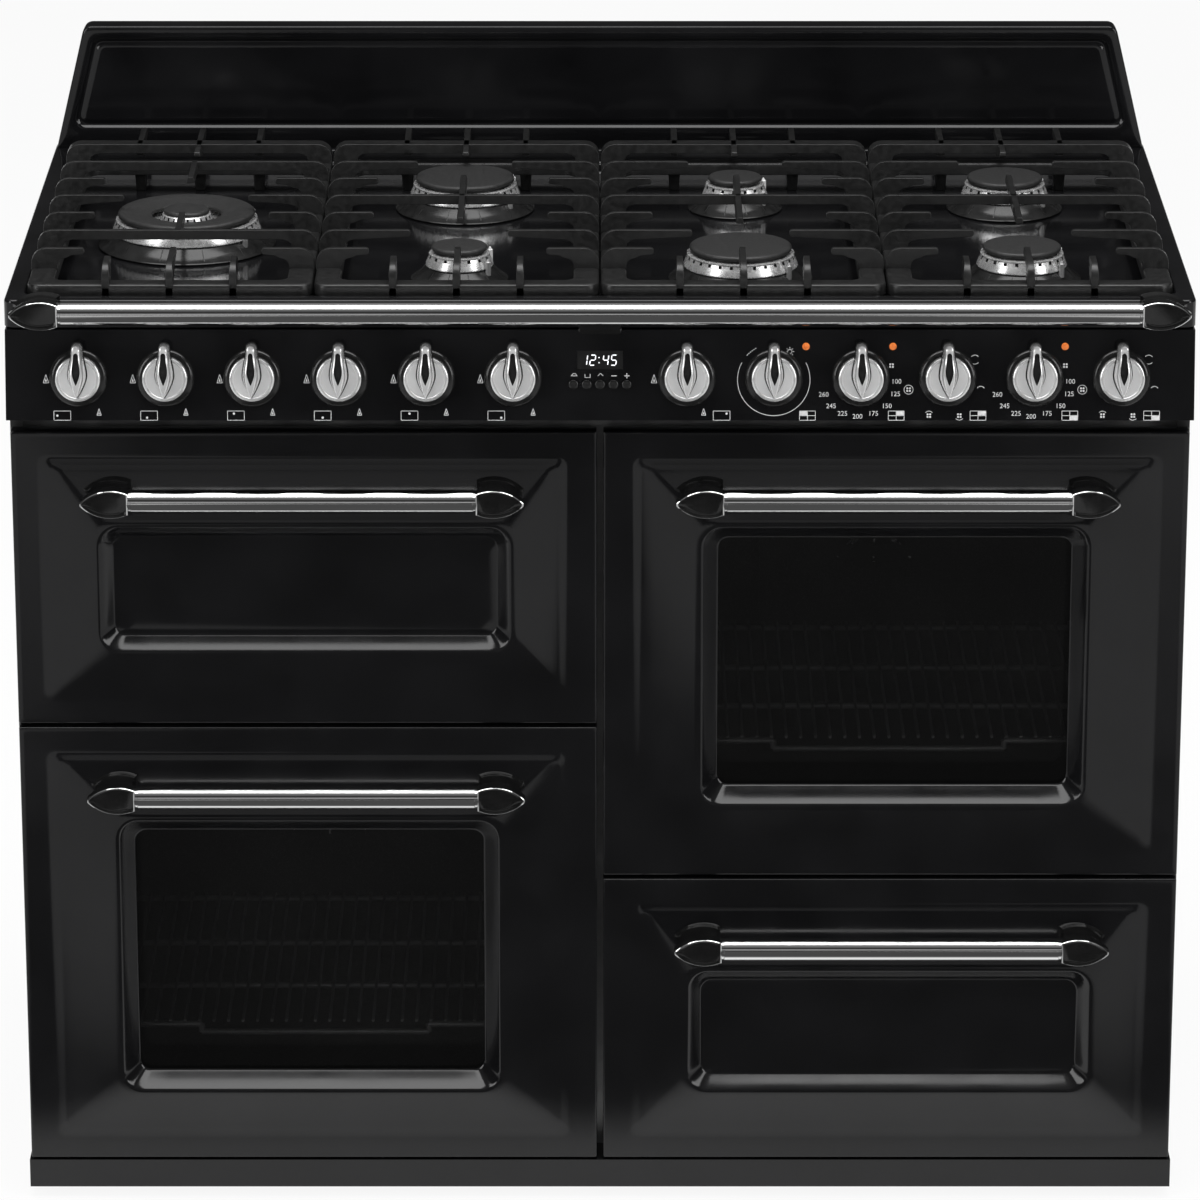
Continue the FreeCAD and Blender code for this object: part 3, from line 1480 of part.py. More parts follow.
def pan_support(index):
    """A cast grid: a low frame with raised fingers that point at the burners."""
    name = f"pan_support_{index}"
    middle = (index - 2.5) * SUPPORT_PITCH
    x = around(middle, SUPPORT_WIDTH)
    y = (FRONT + S.support_front, FRONT + S.support_back)
    z_rail = (WELL_FLOOR, WELL_FLOOR + S.support_rail_height)
    top = S.hob_height + S.support_top
    z_finger = (top - S.finger_height, top)
    rail = S.support_rail_width
    bar = S.support_bar_width
    blank = extrusion(f"{name}_frame", "XY", *z_rail, draw_rounded, x, y, S.well_radius)
    window = extrusion(
        f"{name}_window", "XY", *z_rail, draw_rounded, grown(x, -rail), grown(y, -bar), S.well_radius
    )
    pieces = [cut(f"{name}_ring", blank, [window])]
    wok = index == 1
    half = SUPPORT_WIDTH / 2
    short, long = S.short_finger_gap, S.long_finger_gap
    gaps = [short, 0, short, S.middle_finger_gap, short, 0] if wok else [short, long, short, 0, short, long]
    for k, (row, gap) in enumerate(zip(finger_rows(), gaps)):
        span_y = around(row, S.finger_width)
        z_post = (WELL_FLOOR, top)
        for label, side in (("left", -1), ("right", 1)):
            outer = middle + side * half
            inner = middle + side * gap if float(gap) > 0 else middle
            span = (outer, inner) if side < 0 else (inner, outer)
            pieces.append(box(f"{name}_{label}_finger_{k}", span, span_y, z_finger))
            root = outer - side * rail
            span = (outer, root) if side < 0 else (root, outer)
            pieces.append(box(f"{name}_{label}_root_{k}", span, span_y, z_post))
    for k, offset in enumerate((-1, 0, 1)):
        span_x = around(middle + offset * S.end_finger_offset, S.finger_width)
        front_stop = FRONT + (S.front_finger_middle if offset == 0 else S.front_finger_side)
        back_start = FRONT + (S.back_finger_middle if offset == 0 else S.back_finger_side)
        pieces.append(box(f"{name}_front_finger_{k}", span_x, (y[0], front_stop), z_finger))
        pieces.append(box(f"{name}_front_root_{k}", span_x, (y[0], y[0] + bar), (WELL_FLOOR, top)))
        back_stop = FRONT + S.back_finger_end
        pieces.append(box(f"{name}_back_finger_{k}", span_x, (back_start, back_stop), z_finger))
        pieces.append(box(f"{name}_back_root_{k}", span_x, (y[1] - bar, y[1]), (WELL_FLOOR, top)))
    span_x = around(middle, S.finger_width)
    rows = finger_rows()
    if wok:
        pieces.append(box(f"{name}_front_stub", span_x, (rows[1], FRONT + S.stub_front), z_finger))
        pieces.append(box(f"{name}_back_stub", span_x, (FRONT + S.stub_back, rows[5]), z_finger))
    else:
        span = (FRONT + S.cross_front, FRONT + S.cross_back)
        pieces.append(box(f"{name}_cross", span_x, span, z_finger))
    node(name, fuse(f"{name}_casting", pieces))


# ---------------------------------------------------------------- build
base_and_plinth()
side_panels()
back_panel()
doors()
front_frame()
cavities()
for oven in OVENS:
    oven_rack(oven)
    fan(oven)
fan_covers()
heating_elements()
hob_top()
backguard()
control_panel()
clock_and_lamps()
clock_buttons()
for number, knob_place in enumerate(KNOB_PLACES, start=1):
    knob(number, knob_place)
valve_and_switch_rail()
towel_rail()
burner_spreaders()
burner_caps()
for support_number in (1, 2, 3, 4):
    pan_support(support_number)

doc.recompute()
for item in doc.Objects:
    if "Invalid" in item.State or "Error" in item.State:
        raise RuntimeError(f"{item.Name} did not compute: {item.State}")
os.makedirs("parts", exist_ok=True)
for name, item in NODES.items():
    shape = item.Shape
    if shape.isNull() or not shape.isValid() or shape.Volume <= 0:
        raise RuntimeError(f"{name} has no valid shape")
    shape.exportStep(f"parts/{name}.step")
    print(f"{name}: {len(shape.Solids)} solids, {shape.Volume / 1000:.1f} cm3")
print(f"{len(NODES)} nodes")
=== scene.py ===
import math

import bmesh
import bpy
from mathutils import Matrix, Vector

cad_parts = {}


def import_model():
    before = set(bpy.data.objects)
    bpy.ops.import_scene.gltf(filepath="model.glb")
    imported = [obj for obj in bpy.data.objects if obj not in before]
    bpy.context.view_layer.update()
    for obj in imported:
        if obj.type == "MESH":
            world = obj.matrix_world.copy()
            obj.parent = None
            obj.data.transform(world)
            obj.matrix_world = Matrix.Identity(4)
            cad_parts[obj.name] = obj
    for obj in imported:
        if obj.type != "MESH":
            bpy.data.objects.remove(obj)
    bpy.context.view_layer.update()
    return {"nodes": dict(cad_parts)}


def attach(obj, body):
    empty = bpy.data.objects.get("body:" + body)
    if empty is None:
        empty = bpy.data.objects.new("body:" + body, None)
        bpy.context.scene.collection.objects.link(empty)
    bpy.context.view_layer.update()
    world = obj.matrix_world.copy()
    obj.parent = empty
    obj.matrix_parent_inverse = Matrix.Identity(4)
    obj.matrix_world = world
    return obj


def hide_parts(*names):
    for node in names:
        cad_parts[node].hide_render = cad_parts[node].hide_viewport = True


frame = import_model()

# Sizes in millimetres, in the frame's own axes: X to the right, Y to the back, Z up.
MM = 0.001
FRONT = -272.0
BACK = 328.0
HOB = 900.0
WELL = 876.0
HALF_WIDTH = 550.0

PANEL_TILT = math.radians(9.1)
UP = Vector((0, math.sin(PANEL_TILT), math.cos(PANEL_TILT)))
OUT = Vector((0, -math.cos(PANEL_TILT), math.sin(PANEL_TILT)))
PANEL_FOOT_Y = FRONT - 25
PANEL_FOOT_Z = 789
KNOB_PITCH = 80.2
KNOB_PLACES = [(k - 6 if k < 6 else k - 5) * KNOB_PITCH for k in range(12)]
KNOB_ROW = 40.0
BUTTON_PITCH = 12.3
BUTTON_ROW = KNOB_ROW - 6.5
CLOCK_ROW = 56
LAMP_ROW = KNOB_ROW + 28.7

# name: side, lower edge, height, has a window
DOORS = {
    "grill": (-1, 484.0, 286.5, False),
    "left_oven": (-1, 41.0, 439.0, True),
    "right_oven": (1, 331.5, 439.0, True),
    "storage": (1, 41.0, 286.5, False),
}
DOOR_MIDDLE = 275.5
DOOR_WIDTH = 545.0
DOOR_DEPTH = 18.0
FRAME_SIDE = 28.4
FRAME_END = 26.0
FRAME_RISE = 16.0
BEND_RISE = 2.2
MOUTH_BELOW = 76.0
MOUTH_ABOVE = 87.0
HINGE_REACH = 230.0
NOTCH_HALF = 6.0
HANDLE_DROP = 54.0
HANDLE_HALF = 160.5
BAR_RADIUS = 11.0
BAR_GROOVE = 10.4
HANDLE_AXIS = FRONT - 45
RAIL_HALF = 497
RAIL_AXIS = -311.0
RAIL_LEVEL = 895.0
RAIL_SEAT = -282.0

# name, x, distance from the front, cap radius, number of the support above it
BURNERS = [
    ("wok", -399.0, 285.0, 66.0, 1),
    ("rear_left", -133.0, 422.0, 48.5, 2),
    ("front_left", -133.0, 155.0, 26.5, 2),
    ("rear_middle", 133.0, 422.0, 26.5, 3),
    ("front_middle", 133.0, 155.0, 48.5, 3),
    ("rear_right", 399.0, 422.0, 37.0, 4),
    ("front_right", 399.0, 155.0, 37.0, 4),
]
RING_BASE = 890.4
CAP_SEAT = 905.0
WOK_MIDDLE_CAP = 22.0
SKIRT_SHADE_LINES = 12

SUPPORTS = (1, 2, 3, 4)
SUPPORT_PITCH = 266.0
SUPPORT_HALF = 132.3
SUPPORT_SPAN = (FRONT + 22.0, FRONT + 506.0)
RAIL_WIDTH = 24.0
BAR_WIDTH = 20.0
RAIL_BASE = 894.0
FINGER = 7.2
FINGER_TOP = 925.0
FINGER_UNDER = 916.0
FINGER_DRAFT = 0.9
SHOULDER = 14.0
REAR_TIP = FRONT + 560.0
FOOT_WIDTH = 12.0
FOOT_DEPTH = 8.0

FLOOR_REACH = 30.0


# ---------------------------------------------------------------- materials
def new_material(name):
    material = bpy.data.materials.new(name)
    material.use_nodes = True
    tree = material.node_tree
    shader = tree.nodes["Principled BSDF"]
    return material, tree, shader


def node(tree, kind, **values):
    """A new shader node; the keywords are its inputs, with _ for a space."""
    item = tree.nodes.new("ShaderNode" + kind)
    for key, value in values.items():
        item.inputs[key.replace("_", " ")].default_value = value
    return item


def coordinates(tree, stretch=(1, 1, 1)):
    """Object coordinates in metres, squeezed along an axis for drawn or brushed marks."""
    mapping = node(tree, "Mapping", Scale=stretch)
    tree.links.new(node(tree, "TexCoord").outputs["Object"], mapping.inputs["Vector"])
    return mapping.outputs["Vector"]


def noise(tree, vector, scale, detail=3.0):
    item = node(tree, "TexNoise", Scale=scale, Detail=detail, Roughness=0.5)
    tree.links.new(vector, item.inputs["Vector"])
    return item.outputs["Fac"]


def ramp(tree, factor, low, high):
    item = node(tree, "ValToRGB")
    first, last = item.color_ramp.elements
    first.position, last.position = 0.3, 0.7
    first.color = (*low, 1)
    last.color = (*high, 1)
    tree.links.new(factor, item.inputs["Fac"])
    return item.outputs["Color"]


def map_range(tree, value, start, stop, low, high, kind="LINEAR"):
    item = node(tree, "MapRange", From_Min=start, From_Max=stop, To_Min=low, To_Max=high)
    item.interpolation_type = kind
    tree.links.new(value, item.inputs["Value"])
    return item.outputs["Result"]


def mix_shaders(tree, factor, first, second):
    """A mix of two shader nodes; the factor is a number or another node's output."""
    item = node(tree, "MixShader")
    if isinstance(factor, float):
        item.inputs["Fac"].default_value = factor
    else:
        tree.links.new(factor, item.inputs["Fac"])
    tree.links.new(first.outputs[0], item.inputs[1])
    tree.links.new(second.outputs[0], item.inputs[2])
    return item


def finish_surface(
    name, low, high, rough, metallic=0.0, specular=0.5, grain=60.0, fine=900.0, relief=0.05,
    depth=0.0002, stretch=(1, 1, 1),
):
    """One procedural finish: colour mottle, roughness mottle and a fine relief."""
    material, tree, shader = new_material(name)
    vector = coordinates(tree, stretch)
    broad = noise(tree, vector, grain, 4.0)
    small = noise(tree, vector, fine, 2.0)
    tree.links.new(ramp(tree, broad, low, high), shader.inputs["Base Color"])
    tree.links.new(map_range(tree, broad, 0.3, 0.7, *rough), shader.inputs["Roughness"])
    shader.inputs["Metallic"].default_value = metallic
    shader.inputs["Specular IOR Level"].default_value = specular
    bump = node(tree, "Bump", Strength=relief, Distance=depth)
    tree.links.new(small, bump.inputs["Height"])
    tree.links.new(bump.outputs["Normal"], shader.inputs["Normal"])
    return material


def grey(value, tint=0.0):
    return (value, value, value * (1 + tint))


ENAMEL = finish_surface(
    "black_gloss_enamel", grey(0.0035, 0.1), grey(0.006, 0.1), (0.09, 0.14), specular=0.4,
    grain=14, fine=170, relief=0.02, depth=0.0002,
)
RAIL_ENDS = finish_surface(
    "black_gloss_casting", grey(0.004), grey(0.008), (0.08, 0.14), specular=0.5, grain=60, fine=400,
    relief=0.05,
)
CASING = finish_surface(
    "black_satin_steel", grey(0.012), grey(0.02), (0.32, 0.42), specular=0.4, grain=20, fine=900,
    relief=0.08,
)
GALVANISED = finish_surface(
    "zinc_coated_steel", grey(0.32), grey(0.5), (0.35, 0.55), metallic=0.9, grain=35, fine=140,
    relief=0.06,
)
OVEN_ENAMEL = finish_surface(
    "oven_enamel", grey(0.02), grey(0.055), (0.18, 0.3), specular=0.5, grain=900, fine=1500, relief=0.08,
)
CHROME = finish_surface(
    "polished_chrome", grey(0.72), grey(0.8), (0.06, 0.11), metallic=1.0, grain=25, fine=500,
    relief=0.02, stretch=(0.2, 1, 1),
)
WIRE = finish_surface(
    "rack_wire", grey(0.5), grey(0.62), (0.34, 0.44), metallic=0.8, grain=120, fine=900, relief=0.05,
)
ALUMINIUM = finish_surface(
    "cast_aluminium", grey(0.72), grey(0.9), (0.2, 0.34), metallic=0.75, grain=200, fine=1200,
    relief=0.1,
)
SKIRT = finish_surface(
    "burner_skirt_enamel", grey(0.006), grey(0.014), (0.14, 0.24), specular=0.4, grain=80, fine=700,
    relief=0.08,
)
CAST_IRON = finish_surface(
    "enamelled_cast_iron", grey(0.008), grey(0.016), (0.28, 0.4), specular=0.5, grain=180, fine=900,
    relief=0.22, depth=0.0005,
)
CAP = finish_surface(
    "matt_black_enamel", grey(0.016), grey(0.026), (0.42, 0.55), specular=0.45, grain=300, fine=1400,
    relief=0.25, depth=0.0002,
)
SATIN = finish_surface(
    "satin_chrome", grey(0.74), grey(0.86), (0.3, 0.4), metallic=0.55, specular=0.6, grain=30, fine=700,
    relief=0.04,
)
BRIGHT = finish_surface(
    "bright_chrome", grey(0.82), grey(0.9), (0.12, 0.2), metallic=0.7, specular=0.6, grain=30, fine=700,
    relief=0.02,
)
CERAMIC = finish_surface(
    "white_ceramic", grey(0.62), grey(0.75), (0.25, 0.35), grain=200, fine=900, relief=0.05,
)
# Black plastic of the knob skirts and clock buttons; on each knob lever it also paints a contact shadow at
# the lever's foot.
BLACK_PLASTIC_AND_SHADE = finish_surface(
    "black_plastic_and_painted_shade", grey(0.006), grey(0.012), (0.15, 0.25), grain=300, fine=1600, relief=0.06,
)
PRINT = finish_surface(
    "white_print", grey(0.62), grey(0.78), (0.35, 0.5), grain=300, fine=1200, relief=0.05,
)
# Near-black: the clock's own dark display window, and painted shade in the burner slots, the skirt lines and
# the gap under each cap.
DISPLAY_BLACK_AND_SHADE = finish_surface(
    "display_black_and_painted_shade", grey(0.002), grey(0.005), (0.4, 0.6), grain=200, fine=900, relief=0.1,
)


def glowing(name, grain, low, high, strength, roughness):
    material, tree, shader = new_material(name)
    colour = ramp(tree, noise(tree, coordinates(tree), grain, 2.0), low, high)
    for key in ("Base Color", "Emission Color"):
        tree.links.new(colour, shader.inputs[key])
    shader.inputs["Emission Strength"].default_value = strength
    shader.inputs["Roughness"].default_value = roughness
    return material


def smoked_glass():
    """Smoked pane: what is behind shows dimly, and the surface reflects."""
    material, tree, shader = new_material("smoked_glass")
    tree.nodes.remove(shader)
    clear = node(tree, "BsdfTransparent")
    gloss = node(tree, "BsdfGlossy", Roughness=0.02)
    fresnel = node(tree, "Fresnel", IOR=1.45)
    smear = noise(tree, coordinates(tree), 6, 3.0)
    tree.links.new(ramp(tree, smear, grey(0.78), grey(0.88)), clear.inputs["Color"])
    mix = mix_shaders(tree, fresnel.outputs["Fac"], clear, gloss)
    tree.links.new(mix.outputs["Shader"], tree.nodes["Material Output"].inputs["Surface"])
    return material


LAMP = glowing("amber_lens", 500, (0.62, 0.13, 0.02), (0.85, 0.24, 0.05), 0.15, 0.25)
DIGITS = glowing("display_digits", 900, (0.8, 0.82, 0.85), (0.95, 0.96, 1.0), 0.8, 0.5)
GLASS = smoked_glass()


# ---------------------------------------------------------------- mesh helpers
class Shape:
    """Collects vertices and faces in millimetres, each face with a material number."""

    def __init__(self):
        self.points = []
        self.faces = []
        self.marks = []

    def add(self, points, faces, mark=0):
        start = len(self.points)
        self.points += [tuple(p) for p in points]
        self.faces += [tuple(start + k for k in face) for face in faces]
        self.marks += [mark] * len(faces)

    def rings(self, loops, mark=0, start_cap=False, stop_cap=False, marks=None):
        """Joins loops of equal length with quads; a cap closes the first or last loop."""
        count = len(loops[0])
        for k in range(len(loops) - 1):
            pair = list(loops[k]) + list(loops[k + 1])
            quads = [(j, (j + 1) % count, count + (j + 1) % count, count + j) for j in range(count)]
            self.add(pair, quads, marks[k] if marks else mark)
        if start_cap:
            self.add(loops[0], [tuple(reversed(range(count)))], marks[0] if marks else mark)
        if stop_cap:
            self.add(loops[-1], [tuple(range(count))], marks[-1] if marks else mark)

    def lathe(self, profile, place, segments=64, mark=0, marks=None, start_cap=False, stop_cap=False):
        """Turns (radius, height) points; place maps (x, y, height) to the frame."""
        loops = []
        for radius, height in profile:
            loop = []
            for j in range(segments):
                angle = 2 * math.pi * j / segments
                loop.append(place(radius * math.cos(angle), radius * math.sin(angle), height))
            loops.append(loop)
        self.rings(loops, mark, start_cap, stop_cap, marks)

    def prism(self, outline, place, near, far, mark=0):
        """Pushes a flat outline (u, v) from near to far."""
        self.rings(
            [[place(u, v, near) for u, v in outline], [place(u, v, far) for u, v in outline]],
            mark, True, True,
        )


def arc_corner(before, corner, after, radius, steps):
    a = (Vector(before) - Vector(corner)).normalized()
    b = (Vector(after) - Vector(corner)).normalized()
    half = math.acos(max(-1, min(1, a.dot(b)))) / 2
    reach = radius / math.tan(half)
    centre = Vector(corner) + (a + b).normalized() * (radius / math.sin(half))
    first = Vector(corner) + a * reach - centre
    last = Vector(corner) + b * reach - centre
    start = math.atan2(first.y, first.x)
    sweep = math.atan2(last.y, last.x) - start
    while sweep > math.pi:
        sweep -= 2 * math.pi
    while sweep < -math.pi:
        sweep += 2 * math.pi
    return [
        (centre.x + radius * math.cos(start + sweep * k / steps),
         centre.y + radius * math.sin(start + sweep * k / steps))
        for k in range(steps + 1)
    ]


def rounded_loop(corners, radius, steps=8, side=10):
    """A closed loop with as many points whatever its size; radius is one value or one a corner."""
    count = len(corners)
    radii = [radius] * count if isinstance(radius, (int, float)) else radius
    arcs = [
        arc_corner(corners[k - 1], corners[k], corners[(k + 1) % count], radii[k], steps)
        for k in range(count)
    ]
    loop = []
    for k in range(count):
        loop += arcs[k]
        last = Vector(arcs[k][-1])
        following = Vector(arcs[(k + 1) % count][0])
        loop += [tuple(last.lerp(following, j / side)) for j in range(1, side)]
    return loop


def rectangle(u, v):
    return [(u[0], v[0]), (u[1], v[0]), (u[1], v[1]), (u[0], v[1])]


def inset(rect, amount):
    """A rectangle of two spans, drawn in on all four sides; a negative amount grows it."""
    (a, b), (c, d) = rect
    return ((a + amount, b - amount), (c + amount, d - amount))


def place_object(name, data):
    item = bpy.data.objects.new(name, data)
    bpy.context.scene.collection.objects.link(item)
    return item


def make(name, shape, materials, body, stands_for=(), angle=35.0, bevel=0.0):
    mesh = bpy.data.meshes.new(name)
    mesh.from_pydata([tuple(c * MM for c in p) for p in shape.points], [], shape.faces)
    for material in materials:
        mesh.materials.append(material)
    for polygon, mark in zip(mesh.polygons, shape.marks):
        polygon.material_index = mark
        polygon.use_smooth = True
    work = bmesh.new()
    work.from_mesh(mesh)
    bmesh.ops.remove_doubles(work, verts=work.verts, dist=2e-6)
    bmesh.ops.recalc_face_normals(work, faces=work.faces)
    work.to_mesh(mesh)
    work.free()
    mesh.set_sharp_from_angle(angle=math.radians(angle))
    item = place_object(name, mesh)
    if bevel:
        rounding = item.modifiers.new("edge_rounding", "BEVEL")
        rounding.width = bevel * MM
        rounding.segments = 3
        rounding.limit_method = "ANGLE"
        rounding.angle_limit = math.radians(28)
        rounding.harden_normals = False
    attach(item, body)
    if stands_for:
        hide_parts(*stands_for)
    return item


def on_panel(x, up, out):
    """A point of the sloping panel face, in millimetres."""
    base = Vector((x, PANEL_FOOT_Y, PANEL_FOOT_Z))
    return base + UP * up + OUT * out


def panel_place(x, up):
    return lambda u, v, out: on_panel(x + u, up + v, out)


# ---------------------------------------------------------------- doors
def door_loop(rect, radius):
    return rounded_loop(rectangle(*rect), radius, steps=8, side=16)


def blend_rect(a, b, share):
    return tuple(
        tuple(p + (q - p) * share for p, q in zip(first, second)) for first, second in zip(a, b)
    )


def door_loops(middle, lower, height, windowed):
    """The pressing as loops from its folded edge to the bottom of its sunken field."""
    half = DOOR_WIDTH / 2
    outer = ((middle - half, middle + half), (lower, lower + height))
    mouth_half = 181.0 if windowed else 192.5
    depth = 18.0 if windowed else 13.0
    (x0, x1), (z0, z1) = outer
    frame_rect = ((x0 + FRAME_SIDE, x1 - FRAME_SIDE), (z0 + FRAME_END, z1 - FRAME_END))
    mouth = ((middle - mouth_half, middle + mouth_half), (z0 + MOUTH_BELOW, z1 - MOUTH_ABOVE))
    loops = []

    def add(rect, radius, back):
        loops.append([(u, FRONT + back, v) for u, v in door_loop(rect, radius)])

    for amount, radius, back in (
        (1.5, 1.0, DOOR_DEPTH), (0, 1.2, DOOR_DEPTH), (0, 1.2, 1.4), (0.3, 1.4, 0.9), (0.9, 1.8, 0.3),
        (2.0, 2.5, 0.0), (5.0, 3.5, 0.0),
    ):
        add(inset(outer, amount), radius, back)
    add(inset(frame_rect, -5.0), 10.0, 0.0)
    bend = (
        (-3.0, 0.03), (-1.5, 0.15), (0.0, 0.42), (1.5, 0.8), (3.0, 1.2), (5.0, 1.77), (6.5, BEND_RISE),
    )
    for amount, up in bend:
        add(inset(frame_rect, amount), 9.0, -up)
    slope_foot, crest = inset(frame_rect, 6.5), inset(mouth, -2)
    for share in (0.08, 0.2, 0.35, 0.5, 0.65, 0.8, 0.92, 1.0):
        up = BEND_RISE + (FRAME_RISE - BEND_RISE) * share ** 1.15
        add(blend_rect(slope_foot, crest, share), 9.0 + 13.0 * share, -up)
    add(mouth, 20.0, -FRAME_RISE)
    bevel = depth * (0.88 if windowed else 1.07)
    fall = (
        (0.05, 0.02), (0.12, 0.08), (0.22, 0.18), (0.40, 0.37), (0.60, 0.59), (0.78, 0.79), (0.88, 0.90),
        (0.95, 0.975), (1.0, 1.0),
    )
    for share, down in fall:
        add(inset(mouth, bevel * share), 19.5 - 8.5 * share, -FRAME_RISE + depth * down)
    if not windowed:
        add(inset(mouth, 30.0), 6.0, -FRAME_RISE + depth)
    return loops


def cut_notches(mesh, middle, lower):
    """Opens the folded lower edge for the two hinge arms."""
    work = bmesh.new()
    work.from_mesh(mesh)
    for offset in (-HINGE_REACH, HINGE_REACH):
        for edge in (-NOTCH_HALF, NOTCH_HALF):
            cut_at = Vector(((middle + offset + edge) * MM, 0, 0))
            geometry = work.verts[:] + work.edges[:] + work.faces[:]
            bmesh.ops.bisect_plane(work, geom=geometry, plane_co=cut_at, plane_no=(1, 0, 0), dist=1e-6)
        doomed = []
        for face in work.faces:
            x, y, z = face.calc_center_median() / MM
            if abs(x - middle - offset) < NOTCH_HALF and z < lower + 1.6 and y > FRONT + 2:
                doomed.append(face)
        bmesh.ops.delete(work, geom=doomed, context="FACES")
    work.to_mesh(mesh)
    work.free()


def door_panel(name, side, lower, height, windowed):
    """Pressed sheet: folded edge, flat border, mitred frame and a sunken field with soft bends."""
    middle = DOOR_MIDDLE * side
    shape = Shape()
    shape.rings(door_loops(middle, lower, height, windowed), 0, False, not windowed)
    item = make(f"{name}_door_pressing", shape, [ENAMEL], f"{name}_door",
                [f"{name}_door_panel"], angle=50)
    cut_notches(item.data, middle, lower)


def leaf_outline(scale, steps=14):
    """The leaf seen from the front: u runs outward from the bar end, v up."""
    rise, run, start, centre = 13.5, 30.0, 16.0, 3.0
    radius = (run * run + rise * rise) / (2 * rise)
    upper = []
    for k in range(steps + 1):
        u = -start + (start + run - 1.2) * k / steps
        v = math.sqrt(max(radius * radius - u * u, 0)) - (radius - rise)
        upper.append((u, max(v, 0.9)))
    points = upper + [(u, -v) for u, v in reversed(upper)]
    return [(start + centre + (u - centre) * scale, v * scale) for u, v in points]


def leaf_end(shape, x, direction, level, axis_y, back):
    """A black leaf-shaped end with a thin bright rim and a stem back to its seat."""
    black, bright = 0, 1
    front = axis_y - BAR_RADIUS
    sections = (
        (0.60, front + 1.9), (0.78, front + 1.5), (0.87, front + 0.8), (0.925, front + 0.1), (0.955, front),
        (0.985, front + 0.5), (1.0, front + 1.8), (1.0, axis_y + 1.0), (0.97, axis_y + 4.0),
        (0.86, axis_y + 8.0), (0.80, axis_y + 14.0), (0.80, back - 7.0), (0.86, back - 3.0), (0.97, back),
    )
    loops = [
        [(x + direction * u, y, level + v) for u, v in leaf_outline(scale)] for scale, y in sections
    ]
    marks = [black] * 3 + [bright] * 2 + [black] * 9
    shape.rings(loops, black, True, False, marks)


def bar(shape, middle, half, axis_y, level):
    """A round bar along X with a fine groove near each end."""
    x0, x1 = middle - half, middle + half

    def place(u, v, along):
        return (along, axis_y + u, level + v)

    profile = [
        (BAR_RADIUS, x0 - 1), (BAR_RADIUS, x0), (BAR_GROOVE, x0 + 0.5), (BAR_GROOVE, x0 + 2.0),
        (BAR_RADIUS, x0 + 2.6),
    ]
    profile += [(BAR_RADIUS, x0 + 2.6 + (x1 - x0 - 5.2) * k / 6) for k in range(1, 7)]
    profile += [(BAR_GROOVE, x1 - 2.0), (BAR_GROOVE, x1 - 0.5), (BAR_RADIUS, x1), (BAR_RADIUS, x1 + 1)]
    shape.lathe(profile, place, 56, 0)


def leaf_ends(middle, half, axis_y, level, back):
    ends = Shape()
    for direction in (-1, 1):
        leaf_end(ends, middle + half * direction, direction, level, axis_y, back)
    return ends


def door_handle(name, side, lower, height):
    middle = DOOR_MIDDLE * side
    level = lower + height - HANDLE_DROP
    tube = Shape()
    bar(tube, middle, HANDLE_HALF, HANDLE_AXIS, level)
    make(f"{name}_handle_bar", tube, [CHROME], f"{name}_door", [f"{name}_door_handle"])
    ends = leaf_ends(middle, HANDLE_HALF, HANDLE_AXIS, level, FRONT - 8.0)
    make(f"{name}_handle_ends", ends, [RAIL_ENDS, CHROME], f"{name}_door", angle=30)


def front_rail():
    tube = Shape()
    bar(tube, 0, RAIL_HALF, RAIL_AXIS, RAIL_LEVEL)
    make("rail_bar", tube, [CHROME], "cooker", ["front_rail"])
    ends = leaf_ends(0, RAIL_HALF, RAIL_AXIS, RAIL_LEVEL, RAIL_SEAT)
    bracket = rounded_loop(rectangle((-19.5, 19.5), (877.2, 886.2)), 2.5, 4, 2)
    sections = ((0.97, -316.5), (1.0, -315.8), (1.0, RAIL_SEAT))
    ends.rings([[(u * share, y, v) for u, v in bracket] for share, y in sections], 0, True, True)
    make("rail_ends_and_bracket", ends, [RAIL_ENDS, CHROME], "cooker", angle=30)


# ---------------------------------------------------------------- hob, backguard, panel
def hob_top():
    """The pressed hob: folded skirt, rounded rim and a stepped well; y stops where back is given."""
    front = -282
    sections = (
        (1.5, 8.5, -26.0, None), (0, 10, -26.0, None), (0, 10, -3.0, None), (0.3, 9.7, -1.7, None),
        (1.1, 9, -0.6, None), (2.4, 8, -0.1, None), (4.0, 7, 0.0, None), (15.5, 16, 0.0, 296.5),
        (16.6, 15.5, -0.2, 295.4), (17.4, 15, -1.0, 294.6), (18.0, 14.6, -2.6, 294.0),
        (18.6, 14.4, -11.0, 293.4), (19.4, 14.2, -12.8, 292.6), (21.8, 14.0, -13.4, 290.2),
        (22.8, 13.8, -14.6, 289.2), (23.6, 13.6, -20.0, 288.4), (25.4, 13.0, -22.8, 286.6),
        (29.0, 12.0, -24.0, 283.0), (60, 10, -24.0, 250),
    )
    loops = []
    for amount, radius, z, back in sections:
        x = (amount - HALF_WIDTH, HALF_WIDTH - amount)
        y = (front + amount, BACK - amount if back is None else back)
        loops.append([(u, v, HOB + z) for u, v in rounded_loop(rectangle(x, y), radius, 8, 20)])
    shape = Shape()
    shape.rings(loops, 0, False, True)
    make("hob_pressing", shape, [ENAMEL], "cooker", ["hob_top"], angle=60)


